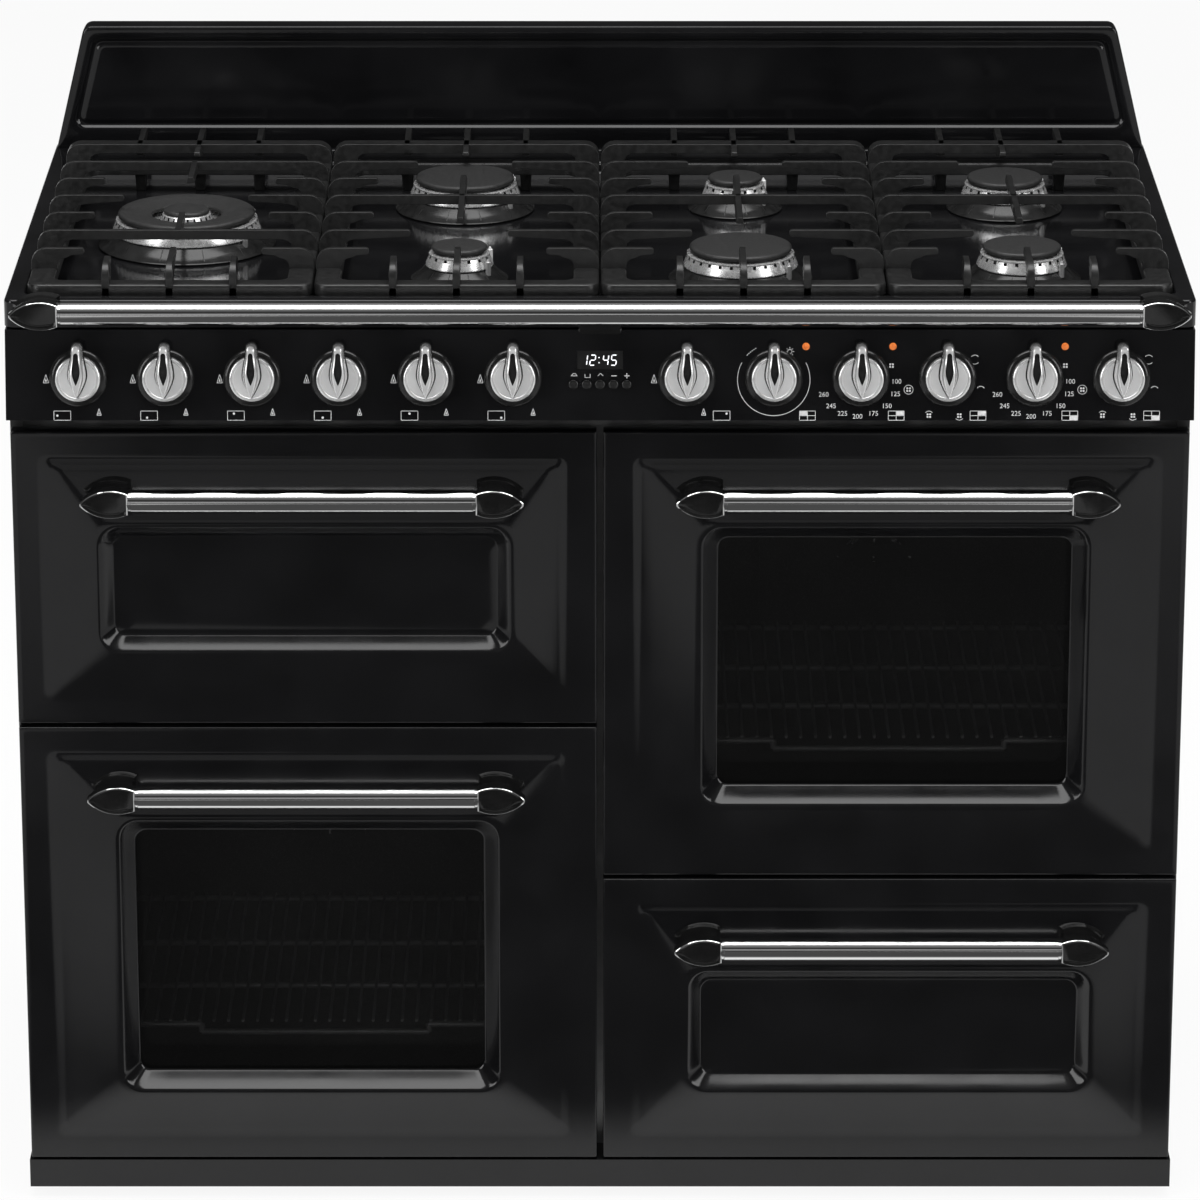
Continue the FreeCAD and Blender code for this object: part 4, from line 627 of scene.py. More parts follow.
def backguard():
    """A trapezoid pressing with a raised border round a shallow field."""
    height, low_half, lean, field_from = 125.0, 548, 30.0, 10

    def outline(amount, y, radius):
        in_field = amount > field_from
        low = amount + (8.0 if in_field else 0.0)
        high = height - amount
        halves = [low_half - amount - lean / height * level for level in (low, high)]
        corners = [(-halves[0], HOB + low), (halves[0], HOB + low), (halves[1], HOB + high),
                   (-halves[1], HOB + high)]
        foot_radius = radius if in_field else 0.4
        radii = (foot_radius, foot_radius, radius, radius)
        return [(u, y, v) for u, v in rounded_loop(corners, radii, 8, 20)]

    sections = (
        (1.5, BACK, 9.0), (0, BACK, 10.0), (0, 306.5, 10.0), (0.4, 305.2, 9.7), (1.2, 304.4, 9.0),
        (2.6, 304, 8.0), (11.0, 304, 10), (12.2, 304.3, 9.6), (13.2, 305.2, 9.2), (14.4, 306.6, 8.8),
        (15.6, 307.1, 8.4), (17.5, 307.0, 7.8), (19.0, 305.9, 7.4), (20.5, 305.5, 7), (23.0, 305.6, 6),
    )
    shape = Shape()
    shape.rings([outline(*section) for section in sections], 0, False, True)
    make("backguard_pressing", shape, [ENAMEL], "cooker", ["backguard"], angle=60)


# ---------------------------------------------------------------- knobs and buttons
def drop_outline(steps=10):
    """The lever from above: pointed below, widest a little above its middle, rounded tip."""
    right = [(0.0, -16.5), (2.2, -13.0), (4.6, -8.4), (6.6, -3.6), (7.9, 0.8), (8.2, 4.0)]
    right += [(7.9, 8.0), (7.1, 12.5), (6.2, 17.0), (5.5, 21.5), (5.1, 25.0), (5.0, 29.0)]
    for k in range(1, steps):
        angle = math.radians(90 * k / steps)
        right.append((5.0 * math.cos(angle), 29.0 + 4.5 * math.sin(angle)))
    right.append((0.0, 33.5))
    left = [(-u, v) for u, v in reversed(right[1:-1])]
    return right + left


def knob(index, x):
    place = panel_place(x, KNOB_ROW)
    base = Shape()
    base.lathe(
        [(0.1, 0.6), (26.0, 0.6), (26.8, 1.2), (26.8, 4.2), (26.4, 5.6), (25.4, 6.9), (23.9, 7.9),
         (22.0, 8.5), (20.0, 8.6)],
        place, 72, 0, start_cap=True,
    )
    make(f"knob_{index}_skirt", base, [BLACK_PLASTIC_AND_SHADE], f"knob_{index}", [f"knob_{index}"])
    metal = Shape()
    metal.lathe(
        [(20.2, 8.0), (20.8, 8.8), (20.8, 14.6), (20.5, 15.6), (19.8, 16.2), (18.9, 16.4),
         (18.1, 16.2), (17.4, 15.7), (14.0, 15.9), (9.0, 16.3), (4.0, 16.5), (0.1, 16.55)],
        place, 72, marks=[2] * 7 + [0] * 4, stop_cap=True,
    )
    # sideways share, share along the lever, middle of the latter, distance from the panel
    sections = (
        (1.14, 1.05, 8.0, 15.6), (1.12, 1.045, 8.0, 16.75), (1.02, 1.01, 8.0, 16.8), (1.0, 1.0, 8.0, 17.6),
        (0.97, 0.99, 8.0, 24.0), (0.90, 0.985, 8.0, 29.0), (0.78, 0.975, 8.0, 32.6), (0.64, 0.96, 8.0, 34.2),
        (0.52, 0.92, 8.6, 34.6), (0.46, 0.60, 15.0, 34.4), (0.40, 0.56, 15.4, 33.8), (0.30, 0.50, 15.8, 32.4),
    )
    outline = drop_outline()
    loops = [
        [place(u * across, middle + (v - middle) * along, out) for u, v in outline]
        for across, along, middle, out in sections
    ]
    # material 1 is black: the band at the lever's foot is painted contact shadow, and the groove in its top
    # is black too
    metal.rings(loops, marks=[1] * 3 + [2] * 6 + [1] * 3, stop_cap=True)
    make(f"knob_{index}_dial", metal, [SATIN, BLACK_PLASTIC_AND_SHADE, BRIGHT], f"knob_{index}", angle=30)


def clock_button(index, x):
    place = panel_place(x, BUTTON_ROW)
    shape = Shape()
    shape.lathe(
        [(0.1, -5.4), (4.5, -5.4), (4.5, 2.3), (4.3, 2.9), (3.7, 3.3), (2.6, 3.45), (0.1, 3.5)],
        place, 40, 0, start_cap=True, stop_cap=True,
    )
    make(f"clock_button_{index}_cap", shape, [BLACK_PLASTIC_AND_SHADE], f"clock_button_{index}",
         [f"clock_button_{index}"])


SEGMENTS = {
    "0": "abcdef", "1": "bc", "2": "abged", "3": "abgcd", "4": "fgbc", "5": "afgcd",
    "6": "afgedc", "7": "abc", "8": "abcdefg", "9": "abcdfg",
}


def clock_and_lamps():
    shape = Shape()
    outline = rounded_loop(rectangle((-21.2, 21.2), (-8.7, 8.7)), 1.0, 4, 2)
    place = panel_place(0, CLOCK_ROW)
    shape.rings(
        [[place(u, v, -11) for u, v in outline], [place(u, v, -0.5) for u, v in outline]], 0, True, True
    )
    width, height, thick = 4.6, 9.4, 1.0
    lines = {
        "a": (0, height, width, height), "b": (width, height / 2, width, height),
        "c": (width, 0, width, height / 2), "d": (0, 0, width, 0), "e": (0, 0, 0, height / 2),
        "f": (0, height / 2, 0, height), "g": (0, height / 2, width, height / 2),
    }

    def segment(x, line):
        u0, v0, u1, v1 = line
        a, b = Vector((u0, v0)), Vector((u1, v1))
        along = (b - a).normalized()
        across = Vector((-along.y, along.x)) * thick / 2
        a, b = a + along * 0.7, b - along * 0.7
        corners = [a - across, b - across, b + along * 0.4, b + across, a + across, a - along * 0.4]
        lean = [(x + p.x + (p.y - height / 2) * 0.12, p.y - height / 2) for p in corners]
        shape.prism(lean, place, -0.49, -0.40, 1)

    for x, digit in ((-16.5, "1"), (-9.0, "2"), (3.0, "4"), (10.5, "5")):
        for letter in SEGMENTS[digit]:
            segment(x, lines[letter])
    for v in (-2.4, 2.4):
        turns = [a * math.pi / 4 for a in range(8)]
        dot = [(-0.9 + 0.6 * math.cos(a), v + 0.6 * math.sin(a)) for a in turns]
        shape.prism(dot, place, -0.49, -0.40, 1)
    for share in (2.37, 3.37, 5.35):
        lamp_place = panel_place(KNOB_PITCH * share, LAMP_ROW)
        shape.lathe(
            [(3.5, -2.5), (3.5, 0.0), (3.3, 0.45), (2.6, 0.7), (0.1, 0.75)], lamp_place, 32, 2, stop_cap=True
        )
    make("clock_window_and_lamps", shape, [DISPLAY_BLACK_AND_SHADE, DIGITS, LAMP], "cooker",
         ["clock_and_lamps"])


# ---------------------------------------------------------------- printed markings
MARK_SCALE = 1.088
MARK_RISE = 1.075


class Print:
    """Flat white marks just above the panel face, placed from a knob's middle."""

    def __init__(self):
        self.shape = Shape()

    def place(self, dx, dy, x):
        return panel_place(x + dx / MARK_SCALE, KNOB_ROW - (dy + 2.2) / MARK_RISE)

    def solid(self, x, dx, dy, points):
        self.shape.prism(points, self.place(dx, dy, x), 0.02, 0.12)

    def line(self, x, dx, dy, start, stop, thick=0.55):
        a, b = Vector(start), Vector(stop)
        across = (b - a).normalized()
        across = Vector((-across.y, across.x)) * thick / 2
        self.solid(x, dx, dy, [a - across, b - across, b + across, a + across])

    def path(self, x, dx, dy, points, thick=0.55, closed=False):
        pairs = list(zip(points, points[1:] + points[:1] if closed else points[1:]))
        for start, stop in pairs:
            self.line(x, dx, dy, start, stop, thick)

    def box(self, x, dx, dy, width, height, thick=0.5):
        u, v = width / 2, height / 2
        self.path(x, dx, dy, [(-u, -v), (u, -v), (u, v), (-u, v)], thick, True)

    def disc(self, x, dx, dy, u, v, radius, steps=12):
        self.solid(
            x, dx, dy,
            [(u + radius * math.cos(2 * math.pi * k / steps), v + radius * math.sin(2 * math.pi * k / steps))
             for k in range(steps)],
        )

    def arc(self, x, dx, dy, radius, start, stop, thick=0.5, steps=24):
        points = []
        for k in range(steps + 1):
            angle = math.radians(start + (stop - start) * k / steps)
            points.append((radius * math.sin(angle), radius * math.cos(angle)))
        self.path(x, dx, dy, points, thick)

    def flame(self, x, dx, dy, size):
        self.path(x, dx, dy, [(-size, -size * 1.2), (size, -size * 1.2), (0, size * 1.9)], 0.55, True)
        self.solid(x, dx, dy, [(-size * 0.4, -size * 0.75), (size * 0.4, -size * 0.75), (0, size * 0.5)])

    def hob_square(self, x, dx, dy, spot):
        self.box(x, dx, dy, 15.5, 8.6)
        self.disc(x, dx, dy, spot[0] * 4.6, spot[1] * 1.9, 1.1)

    def grid(self, x, dx, dy, lit):
        self.box(x, dx, dy, 14.6, 8.6)
        self.line(x, dx, dy, (0, -4.3), (0, 4.3))
        self.line(x, dx, dy, (-7.3, 0), (7.3, 0))
        u, v = lit
        self.solid(x, dx, dy, [(min(0, u * 7.3), min(0, v * 4.3)), (max(0, u * 7.3), min(0, v * 4.3)),
                               (max(0, u * 7.3), max(0, v * 4.3)), (min(0, u * 7.3), max(0, v * 4.3))])

    def number(self, x, dx, dy, text, size):
        data = bpy.data.curves.new(f"number_{text}", "FONT")
        data.body = text
        data.size = size
        data.align_x = "CENTER"
        data.align_y = "CENTER"
        data.extrude = 0.0
        data.resolution_u = 3
        item = place_object(data.name, data)
        bpy.context.view_layer.update()
        mesh = bpy.data.meshes.new_from_object(item.evaluated_get(bpy.context.evaluated_depsgraph_get()))
        place = self.place(dx, dy, x)
        points = [place(v.co.x, v.co.y, 0.12) for v in mesh.vertices]
        self.shape.add(points, [tuple(p.vertices) for p in mesh.polygons])
        bpy.data.objects.remove(item)
        bpy.data.meshes.remove(mesh)

    def wheel(self, x, dx, dy):
        for k in range(4):
            angle = math.pi / 4 + k * math.pi / 2
            u, v = 1.7 * math.cos(angle), 1.7 * math.sin(angle)
            self.disc(x, dx, dy, u, v, 1.0, 8)


def markings():
    marks = Print()
    spots = [(-1, 0), (-0.4, -1), (-0.4, 1), (0, -1), (0, 1), (1, -1), (1, 1)]
    for x, spot in zip(KNOB_PLACES, spots):
        low_flame, square = (20, -17) if x < 0 else (17, 35)
        marks.flame(x, -33, 0, 2.5)
        marks.flame(x, low_flame, 33, 2.0)
        marks.hob_square(x, square, 36, spot)
    grill = KNOB_PLACES[7]
    marks.arc(grill, 0, 0, 33.5, 62, 298, 0.6, 60)
    for k in range(6):
        angle = math.radians(-47 + k * 3.4)
        marks.disc(grill, 0, 0, 33.5 * math.sin(angle), 33.5 * math.cos(angle), 0.55, 8)
    marks.arc(grill, 16, -28, 2.0, 0, 360, 0.6, 12)
    for k in range(8):
        angle = k * math.pi / 4
        marks.line(grill, 16, -28, (2.9 * math.cos(angle), 2.9 * math.sin(angle)),
                   (4.2 * math.cos(angle), 4.2 * math.sin(angle)), 0.5)
    numbers = [("100", 36, 2), ("125", 35, 14.5), ("150", 26.5, 26.5), ("175", 13, 34), ("200", -3, 37),
               ("225", -18, 34), ("245", -29.5, 26.5), ("260", -37, 15)]
    for index in (8, 10):
        x = KNOB_PLACES[index]
        for text, dx, dy in numbers:
            marks.number(x, dx, dy, text, 6.3)
        marks.wheel(x, 31, -14)
        marks.grid(x, 36, 36, (1, 1) if index == 8 else (1, -1))
    for index, lit in ((9, (1, 1)), (11, (1, -1))):
        x = KNOB_PLACES[index]
        marks.grid(x, 31, 36, lit)
        marks.arc(x, 27.4, -20, 4.2, -50, 50, 0.6, 10)
        marks.arc(x, 27.4, -20, 4.2, 130, 230, 0.6, 10)
        marks.arc(x, 33.5, 11, 4.0, -55, 55, 0.6, 10)
        marks.arc(x, -39, 10, 4.2, 0, 360, 0.5, 20)
        marks.wheel(x, -39, 10)
        marks.wheel(x, -18.4, 36)
        marks.arc(x, -18.4, 36, 4.2, -50, 50, 0.5, 10)
        marks.wheel(x, 12.2, 36)
        marks.arc(x, 12.2, 36, 4.2, 130, 230, 0.5, 10)
    marks.grid(grill, 34, 36, (-1, 1))
    clock = 0
    dy = -3.8
    marks.arc(clock, -26, dy, 2.2, -90, 90, 0.55, 10)
    marks.line(clock, -26, dy, (-3, 0), (3, 0))
    marks.path(clock, -12.5, dy, [(-2.4, 1.6), (-2.4, -1.6), (2.4, -1.6), (2.4, 1.6)], 0.55)
    marks.path(clock, 0.5, dy, [(-2.4, 0), (0, 2.2), (2.4, 0)], 0.55)
    marks.line(clock, 14, dy, (-2.4, 0), (2.4, 0), 0.8)
    marks.line(clock, 27, dy, (-2.4, 0), (2.4, 0), 0.8)
    marks.line(clock, 27, dy, (0, -2.4), (0, 2.4), 0.8)
    make("panel_markings", marks.shape, [PRINT], "cooker")


# ---------------------------------------------------------------- burners
def burner_place(x, row):
    return lambda u, v, z: (x + u, FRONT + row + v, z)


def crown(shape, place, low, high, slot_depth, slots, mark, dark):
    """A slotted flame ring between two (radius, height) edges; the slots are dark, a near-black material
    painted in as their shade.
    """
    tooth = 0.72
    for k in range(slots):
        # tooth faces take the ring's mark; slot floors and walls take the dark mark as painted shade
        for start, stop, inward, tone in ((0.0, tooth, 0, mark), (tooth, 1.0, 1, dark)):
            points = []
            for radius, z in (low, high):
                r = radius - slot_depth * inward
                for j in range(3):
                    angle = 2 * math.pi * (k + start + (stop - start) * j / 2) / slots
                    points.append(place(r * math.cos(angle), r * math.sin(angle), z))
            shape.add(points, [(0, 1, 4, 3), (1, 2, 5, 4)], tone)
        for edge in (0.0, tooth):
            angle = 2 * math.pi * (k + edge) / slots
            corners = []
            for radius, z in (low, high):
                for r in (radius, radius - slot_depth):
                    corners.append(place(r * math.cos(angle), r * math.sin(angle), z))
            shape.add(corners, [(0, 1, 3, 2)], dark)


def flame_ring(shape, place, radius, base):
    """Bright band, slots, thin bright lip and a dark neck under the cap; the slots and the neck are
    near-black painted shade.
    """
    def band(rows, segments, mark):
        shape.lathe([(radius + wider, base + up) for wider, up in rows], place, segments, mark)

    band([(0.5, -0.6), (5.0, -0.4), (5.6, 0.4), (5.4, 1.6), (3.0, 7.6)], 96, 1)
    slots = max(16, int(radius * 0.6))
    crown(shape, place, (radius + 3.0, base + 7.6), (radius + 2.0, base + 10.4), 2.6, slots, 1, 4)
    band([(-1.2, 10.2), (2.2, 10.4), (2.3, 11.6), (0.4, 12.2), (-3.0, 12.2)], 96, 1)
    # painted shade: the near-black neck in the gap under the cap
    band([(-3.0, 12.0), (-3.0, 14.6)], 64, 4)


def burner_skirt(shape, place, r):
    """An enamelled cone on the floor of the well, with dark radial lines painted on as the shade of its
    slots.
    """
    rows = ((8, 0.0), (18.6, 0.2), (19.6, 0.8), (19.8, 1.6), (19.0, 2.4), (17.4, 2.9), (12.0, 7.4),
            (6.0, 12.8), (4.0, 14.0), (-2, 14.2))
    shape.lathe([(r + wider, WELL + up) for wider, up in rows], place, 96, 0)
    # near-black strips (material 4) as painted slot shade
    for k in range(SKIRT_SHADE_LINES):
        angle = 2 * math.pi * (k + 0.5) / SKIRT_SHADE_LINES
        along = Vector((math.cos(angle), math.sin(angle)))
        across = Vector((-along.y, along.x)) * 0.45
        points = []
        for wider, up in ((16.6, 3.7), (12.0, 7.6), (6.4, 12.7)):
            spot = along * (r + wider)
            points += [place(*(spot - across), WELL + up), place(*(spot + across), WELL + up)]
        shape.add(points, [(0, 1, 3, 2), (2, 3, 5, 4)], 4)


def inner_crown(shape, place, r):
    """The trough and the small flame ring inside the wok burner."""
    trough = 897.0
    shape.lathe([(r - 3, 904.0), (r - 9, 903.6), (r - 10, trough), (31.0, trough)], place, 96, 1)
    shape.lathe([(27.0, trough), (26.4, 898.2), (24.6, 903.0)], place, 64, 1)
    # its slots take the near-black material as painted shade
    crown(shape, place, (24.6, 903.0), (23.2, 906.4), 2.2, 22, 1, 4)
    shape.lathe([(20.0, 906.2), (23.4, 906.4), (22.4, 907.2)], place, 64, 1, stop_cap=True)


def burners():
    shape = Shape()
    for name, x, row, r, _ in BURNERS:
        place = burner_place(x, row)
        burner_skirt(shape, place, r)
        flame_ring(shape, place, r, RING_BASE)
        if name == "wok":
            inner_crown(shape, place, r)
        # the igniter and the flame probe beside the ring
        for turn, mark, top in ((35, 2, 902.5), (-38, 3, 901.0)):
            angle = math.radians(turn)
            post = burner_place(x + (r + 8.5) * math.cos(angle), row + (r + 8.5) * math.sin(angle))
            shape.lathe([(2.6, 885.0), (2.6, top - 3), (1.6, top - 2.4), (0.9, top - 0.4), (0.1, top)],
                        post, 20, mark, stop_cap=True)
    # material 4 is the near-black painted shade of slots, skirt lines and the neck under each cap
    make("burner_bodies", shape, [SKIRT, ALUMINIUM, CERAMIC, WIRE, DISPLAY_BLACK_AND_SHADE], "cooker",
         ["burner_spreaders"], angle=30)


def ring_cap(shape, place, r):
    """The wok burner's outer cap, dished towards its hole."""
    rows = (
        (34.0, -1.6), (r - 12, 0.0), (r - 1.6, 0.0), (r - 0.4, 0.6), (r, 1.8), (r - 0.3, 3.4), (r - 1.4, 4.4),
        (r - 3.2, 4.8), (r - 8, 4.9), (52.0, 3.8), (42.0, 2.4), (36.0, 1.8), (34.2, 1.4), (33.4, 0.2),
        (33.6, -1.0), (34.0, -1.6),
    )
    shape.lathe([(radius, CAP_SEAT + up) for radius, up in rows], place, 96, 0)


def disc_cap(shape, place, r, seat):
    rows = ((0.1, 0.0), (r - 1.4, 0.0), (r - 0.3, 0.6), (r, 1.8), (r - 0.3, 3.2), (r - 1.3, 4.2),
            (r - 3.0, 4.6), (r - 6, 4.8), (0.1, 5.0))
    shape.lathe([(radius, seat + up) for radius, up in rows], place, 96, 0, start_cap=True, stop_cap=True)


def burner_caps():
    for support in SUPPORTS:
        shape = Shape()
        for name, x, row, radius, owner in BURNERS:
            if owner != support:
                continue
            place = burner_place(x, row)
            if name == "wok":
                ring_cap(shape, place, radius)
                disc_cap(shape, place, WOK_MIDDLE_CAP, CAP_SEAT + 2.0)
            else:
                disc_cap(shape, place, radius, CAP_SEAT)
        make(f"burner_caps_{support}_enamelled", shape, [CAP], f"burner_caps_{support}",
             [f"burner_caps_{support}"], angle=40)


# ---------------------------------------------------------------- pan supports
def quarter(centre, radius, start, steps=5):
    """Points of a quarter circle in the side view, turning from start degrees downward."""
    result = []
    for k in range(steps + 1):
        angle = math.radians(start - 90 * k / steps)
        result.append((centre[0] + radius * math.cos(angle), centre[1] + radius * math.sin(angle)))
    return result


def finger_profile(length, root, tip):
    """Side view of a finger from its outer foot: curved shoulder, straight ridge, tapered tip."""
    top, under, foot_level = FINGER_TOP, FINGER_UNDER, RAIL_BASE + 1.0
    points = [(0.6, RAIL_BASE), (0.0, foot_level)] + quarter((SHOULDER, top - SHOULDER), SHOULDER, 180)
    if tip:
        points += quarter((length - 2.5, top - 2.5), 2.5, 90, 3)
        points += [(length, top - 4.6), (length - 1.4, top - 6.0), (length - 12.0, top - 6.8)]
    else:
        points += [(length, top), (length, under)]
    points += [(root + 9.0, under), (root + 4.0, under - 1.4), (root + 1.2, under - 3.6),
               (root, under - 7.0), (root, foot_level), (root - 0.6, RAIL_BASE)]
    return points


def drafted(z, half):
    """The half width of a cast bar at a height."""
    above = max(z - FINGER_UNDER, 0.0)
    return half - FINGER_DRAFT * above / (FINGER_TOP - FINGER_UNDER)


def blade(shape, origin, direction, length, root=RAIL_WIDTH, tip=True, thick=FINGER):
    """A finger that runs from origin along direction ('x' or 'y' with a sign)."""
    axis, sign = direction

    def place(u, z, across):
        if axis == "x":
            return (origin[0] + sign * u, origin[1] + across, z)
        return (origin[0] + across, origin[1] + sign * u, z)

    outline = finger_profile(length, root, tip)
    shape.rings(
        [[place(u, z, side * drafted(z, thick / 2)) for u, z in outline] for side in (-1, 1)],
        0, True, True,
    )


def rear_finger(shape, at, rail_back, start):
    """A rear finger: it leaves the raised rear bar backward, the middle one also forward."""
    top, under, stop = FINGER_TOP, FINGER_UNDER, REAR_TIP
    rail_front = rail_back - BAR_WIDTH
    outline = [(rail_back + 9.0, under), (stop - 3.0, top - 6.6), (stop, top - 4.4), (stop, top - 2.6)]
    outline += [(stop - 0.8, top - 0.8), (stop - 2.6, top)]
    if start < rail_front - 14:
        outline += [(start + 2.6, top), (start + 0.8, top - 0.8), (start, top - 2.6), (start, top - 4.6),
                    (start + 3.0, top - 6.4), (rail_front - 4.0, under), (rail_front, under - 3.0)]
    else:
        outline += [(start, top), (start, under - 3.0)]
    outline += [(rail_back - 1.0, under - 7.0), (rail_back + 2.0, under - 2.6),
                (rail_back + 5.0, under - 0.6)]
    loops = [[(at + side * drafted(z, FINGER / 2), v, z) for v, z in outline] for side in (-1, 1)]
    shape.rings(loops, 0, True, True)


def beam(shape, x, start, stop, crossing):
    """A bar along Y at finger height, deepest at its crossing and thinner at its free ends."""
    half = FINGER / 2
    ridge = half - FINGER_DRAFT
    low = {start: FINGER_TOP - 6.0, stop: FINGER_TOP - 6.0, crossing: FINGER_UNDER}
    loops = []
    for y in sorted(low):
        base = low[y]
        profile = [(-half, base), (half, base), (half, base + 1.0), (ridge, FINGER_TOP),
                   (-ridge, FINGER_TOP), (-half, base + 1.0)]
        loops.append([(x + u, y, z) for u, z in profile])
    shape.rings(loops, 0, True, True)


def foot(shape, x, y):
    """A drafted foot under the low frame."""
    loops = []
    for z, share in ((WELL, 0.72), (WELL + 1.0, 0.8), (RAIL_BASE + 1.0, 1.0)):
        u, v = FOOT_WIDTH / 2 * share, FOOT_DEPTH / 2 * share
        loops.append([(x + a, y + b, z) for a, b in rounded_loop(rectangle((-u, u), (-v, v)), 1.6, 3, 2)])
    shape.rings(loops, 0, True, True)


def low_frame(shape, outer):
    """The flat ring of the casting with rounded edges."""
    (x0, x1), (y0, y1) = outer
    inner = ((x0 + RAIL_WIDTH, x1 - RAIL_WIDTH), (y0 + BAR_WIDTH, y1 - BAR_WIDTH))
    # rectangle, how far it is drawn in, corner radius, height over the underside
    sections = (
        (outer, 0.6, 13.4, 0.0), (outer, 0, 14, 1.0), (outer, 0, 14, 8.5), (outer, 0.8, 13.2, 10.8),
        (outer, 2.4, 12, 11.8), (outer, 4, 10, 12.0), (inner, -3, 11, 12.0), (inner, -1.2, 12.8, 11.4),
        (inner, -0.2, 13.8, 9.8), (inner, 0, 14, 8.0), (inner, 0, 14, 0.6), (inner, -0.6, 14.4, 0.0),
        (outer, 0.6, 13.4, 0.0),
    )
    loops = []
    for rect, amount, radius, up in sections:
        corners = rectangle(*inset(rect, amount))
        loops.append([(u, v, RAIL_BASE + up) for u, v in rounded_loop(corners, radius, 6, 12)])
    shape.rings(loops, 0)


def pan_support(index):
    shape = Shape()
    middle = (index - 2.5) * SUPPORT_PITCH
    x, y = (middle - SUPPORT_HALF, middle + SUPPORT_HALF), SUPPORT_SPAN
    low_frame(shape, (x, y))
    rows = [FRONT + 85.0 + 66.8 * k for k in range(6)]
    wok = index == 1
    gaps = [83, 0, 83, 60, 83, 0] if wok else [83, 46, 83, 0, 83, 46]
    for row, gap in zip(rows, gaps):
        for edge, sign in zip(x, (1, -1)):
            blade(shape, (edge, row), ("x", sign), SUPPORT_HALF - gap, tip=gap > 0)
    for edge, sign in zip(x, (1, -1)):
        blade(shape, (edge, y[1] - BAR_WIDTH / 2), ("x", sign), SUPPORT_HALF, tip=False, thick=19.4)
    for offset, reach, back in ((-59.0, 36.0, 491.0), (0.0, 68.0, 456.0), (59.0, 36.0, 491.0)):
        at = middle + offset
        blade(shape, (at, y[0]), ("y", 1), reach, root=BAR_WIDTH)
        rear_finger(shape, at, y[1], FRONT + back)
        foot(shape, at, y[0] + FOOT_DEPTH)
        foot(shape, at, y[1] - FOOT_DEPTH)
    if wok:
        beam(shape, middle, rows[1], FRONT + 218, rows[1])
        beam(shape, middle, FRONT + 353, rows[5], rows[5])
    else:
        beam(shape, middle, FRONT + 196, FRONT + 363, rows[3])
    make(f"pan_support_{index}_casting", shape, [CAST_IRON], f"pan_support_{index}",
         [f"pan_support_{index}"], angle=40, bevel=0.9)


# ---------------------------------------------------------------- carried-over pieces
def paint(node, material):
    """Gives a CAD node its finish without touching its mesh."""
    item = frame["nodes"][node]
    slots = item.material_slots
    if not slots:
        item.data.materials.append(material)
    for slot in item.material_slots:
        slot.link = "OBJECT"
        slot.material = material


def carried_over():
    finishes = {
        ENAMEL: ["control_panel", "base_plinth"],
        CASING: ["side_panels"],
        GALVANISED: ["back_panel", "valve_and_switch_rail", "front_frame"],
        OVEN_ENAMEL: ["grill_cavity", "left_oven_cavity", "right_oven_cavity", "storage_compartment",
                      "oven_fan_covers"] + [f"{name}_door_liner" for name in DOORS],
        WIRE: ["left_oven_rack", "right_oven_rack", "heating_elements"],
        ALUMINIUM: ["left_oven_fan", "right_oven_fan"],
        GLASS: ["left_oven_door_glass", "right_oven_door_glass"],
    }
    for material, nodes in finishes.items():
        for node in nodes:
            paint(node, material)


# ---------------------------------------------------------------- studio
def floor():
    """White to the camera; reflections see it dim before the cooker and pale at its flanks."""
    mesh = bpy.data.meshes.new("studio_floor")
    corners = rectangle((-FLOOR_REACH, FLOOR_REACH), (-FLOOR_REACH, FLOOR_REACH))
    mesh.from_pydata([(x, y, 0) for x, y in corners], [], [(0, 1, 2, 3)])
    item = place_object("studio_floor", mesh)
    material, tree, shader = new_material("studio_floor")
    tree.nodes.remove(shader)
    vector = coordinates(tree)
    diffuse = node(tree, "BsdfDiffuse")
    tree.links.new(ramp(tree, noise(tree, vector, 3.0), grey(0.88), grey(0.92)), diffuse.inputs["Color"])
    white = node(tree, "Emission", Strength=1.0)
    position = node(tree, "SeparateXYZ")
    tree.links.new(vector, position.inputs["Vector"])
    aside = node(tree, "Math")
    aside.operation = "ABSOLUTE"
    tree.links.new(position.outputs["X"], aside.inputs[0])
    ahead = map_range(tree, position.outputs["Y"], -0.52, -0.38, 0.08, 1.0, "SMOOTHSTEP")
    flank = map_range(tree, aside.outputs["Value"], 0.56, 0.88, 0.0, 0.6, "SMOOTHSTEP")
    both = node(tree, "Math")
    both.operation = "MAXIMUM"
    tree.links.new(ahead, both.inputs[0])
    tree.links.new(flank, both.inputs[1])
    mirrored = node(tree, "Emission")
    tree.links.new(both.outputs["Value"], mirrored.inputs["Strength"])
    path = node(tree, "LightPath")
    seen = mix_shaders(tree, 0.9, diffuse, white)
    in_gloss = mix_shaders(tree, path.outputs["Is Glossy Ray"], diffuse, mirrored)
    in_camera = mix_shaders(tree, path.outputs["Is Camera Ray"], in_gloss, seen)
    tree.links.new(in_camera.outputs["Shader"], tree.nodes["Material Output"].inputs["Surface"])
    mesh.materials.append(material)


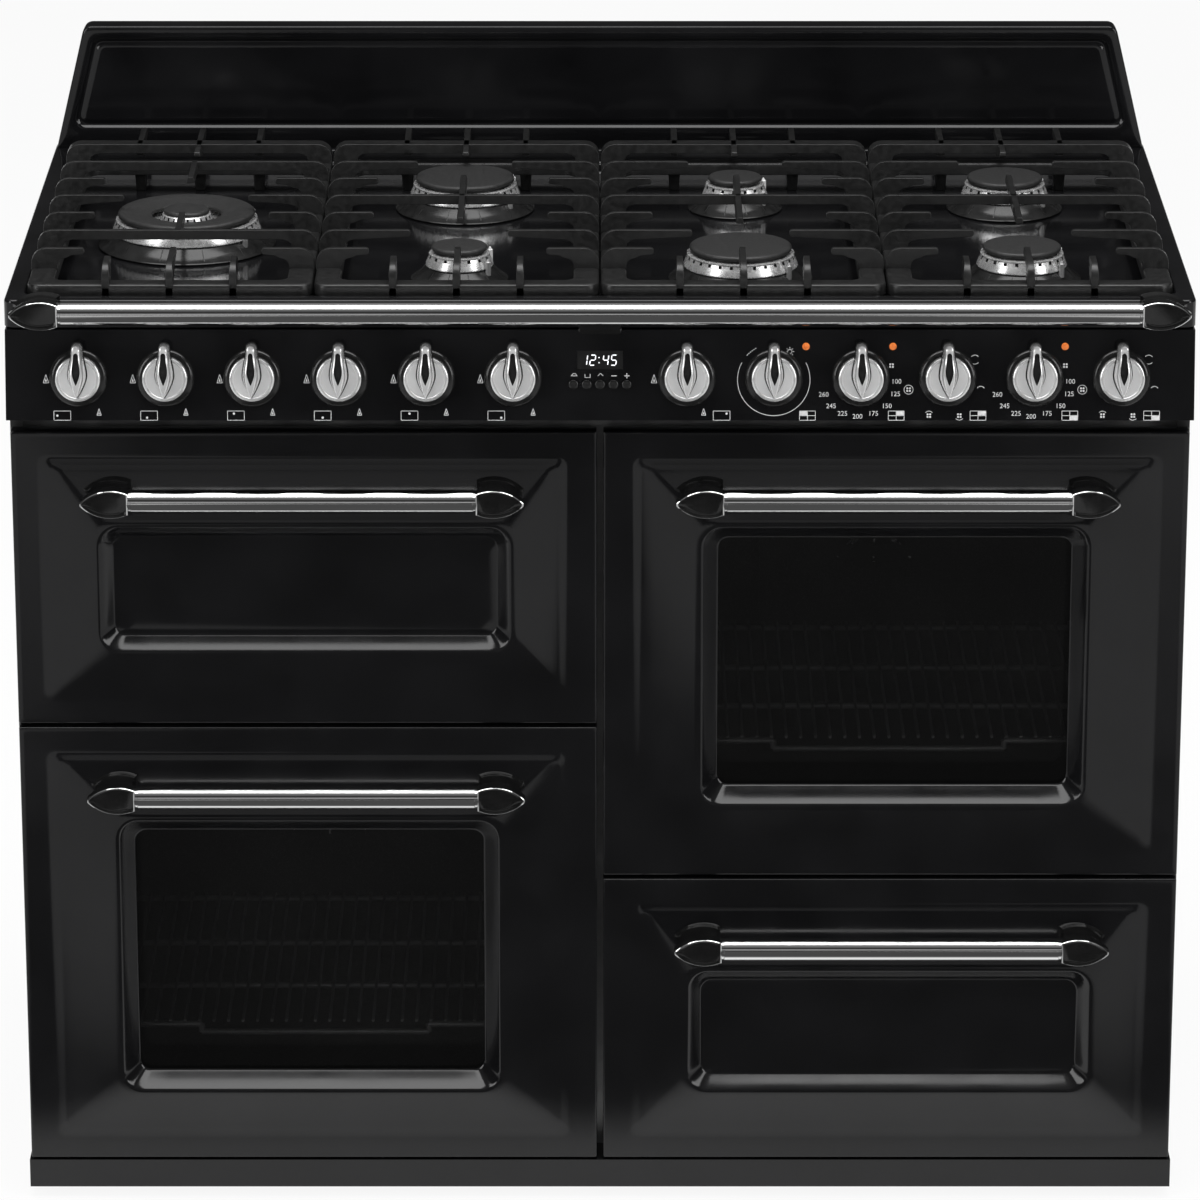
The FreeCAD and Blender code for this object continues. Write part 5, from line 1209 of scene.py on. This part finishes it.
def world():
    """White to the camera, an even soft grey to the surfaces, dim in reflections."""
    item = bpy.data.worlds.new("studio")
    bpy.context.scene.world = item
    item.use_nodes = True
    tree = item.node_tree
    background = tree.nodes["Background"]
    background.inputs["Color"].default_value = (1, 1, 1, 1)
    background.inputs["Strength"].default_value = 0.55
    white = node(tree, "Background", Strength=1.0)
    dim = node(tree, "Background")
    position = node(tree, "SeparateXYZ")
    tree.links.new(node(tree, "TexCoord").outputs["Generated"], position.inputs["Vector"])
    upward = map_range(tree, position.outputs["Z"], 0.45, 1.0, 0.04, 0.4, "SMOOTHSTEP")
    tree.links.new(upward, dim.inputs["Strength"])
    path = node(tree, "LightPath")
    in_gloss = mix_shaders(tree, path.outputs["Is Glossy Ray"], background, dim)
    in_camera = mix_shaders(tree, path.outputs["Is Camera Ray"], in_gloss, white)
    tree.links.new(in_camera.outputs["Shader"], tree.nodes["World Output"].inputs["Surface"])


def area_light(name, location, target, size, power):
    data = bpy.data.lights.new(name, "AREA")
    data.shape = "RECTANGLE"
    data.size, data.size_y = size
    data.energy = power
    item = place_object(name, data)
    item.location = location
    item.rotation_mode = "QUATERNION"
    item.rotation_quaternion = (Vector(target) - Vector(location)).to_track_quat("-Z", "Y")


def studio():
    floor()
    world()
    area_light("softbox_above", (0, -0.65, 3.4), (0, -0.65, 0.5), (3.6, 1.9), 98)
    area_light("softbox_left", (-3.4, -2.6, 2.2), (0, 0, 0.6), (1.2, 2.4), 40)
    area_light("softbox_right", (3.4, -2.6, 2.2), (0, 0, 0.6), (1.2, 2.4), 40)
    area_light("low_front_panel", (0, -5.6, 1.74), (0, 0, 1.0), (4.0, 0.96), 4.6)
    for name, x, z in (("left_oven", -DOOR_MIDDLE * MM, 0.445), ("right_oven", DOOR_MIDDLE * MM, 0.735)):
        area_light(f"{name}_lamp", (x, -0.1, z), (x, -0.1, 0), (0.2, 0.1), 0.35)


def camera():
    data = bpy.data.cameras.new("view")
    data.sensor_width = 36.0
    data.lens = 189.0
    item = place_object("view", data)
    item.location = (0, -5.8868, 2.4255)
    item.rotation_euler = (math.radians(90 - 17.951), 0, 0)
    data.clip_start, data.clip_end = 0.1, 100
    bpy.context.scene.camera = item
    bpy.context.scene.view_settings.view_transform = "Standard"


# ---------------------------------------------------------------- make it all
for door_name, (door_side, door_lower, door_height, door_windowed) in DOORS.items():
    door_panel(door_name, door_side, door_lower, door_height, door_windowed)
    door_handle(door_name, door_side, door_lower, door_height)
front_rail()
hob_top()
backguard()
for number, knob_x in enumerate(KNOB_PLACES, start=1):
    knob(number, knob_x)
for number in range(5):
    clock_button(number + 1, (number - 2) * BUTTON_PITCH)
clock_and_lamps()
markings()
burners()
burner_caps()
for number in SUPPORTS:
    pan_support(number)
carried_over()
studio()
camera()
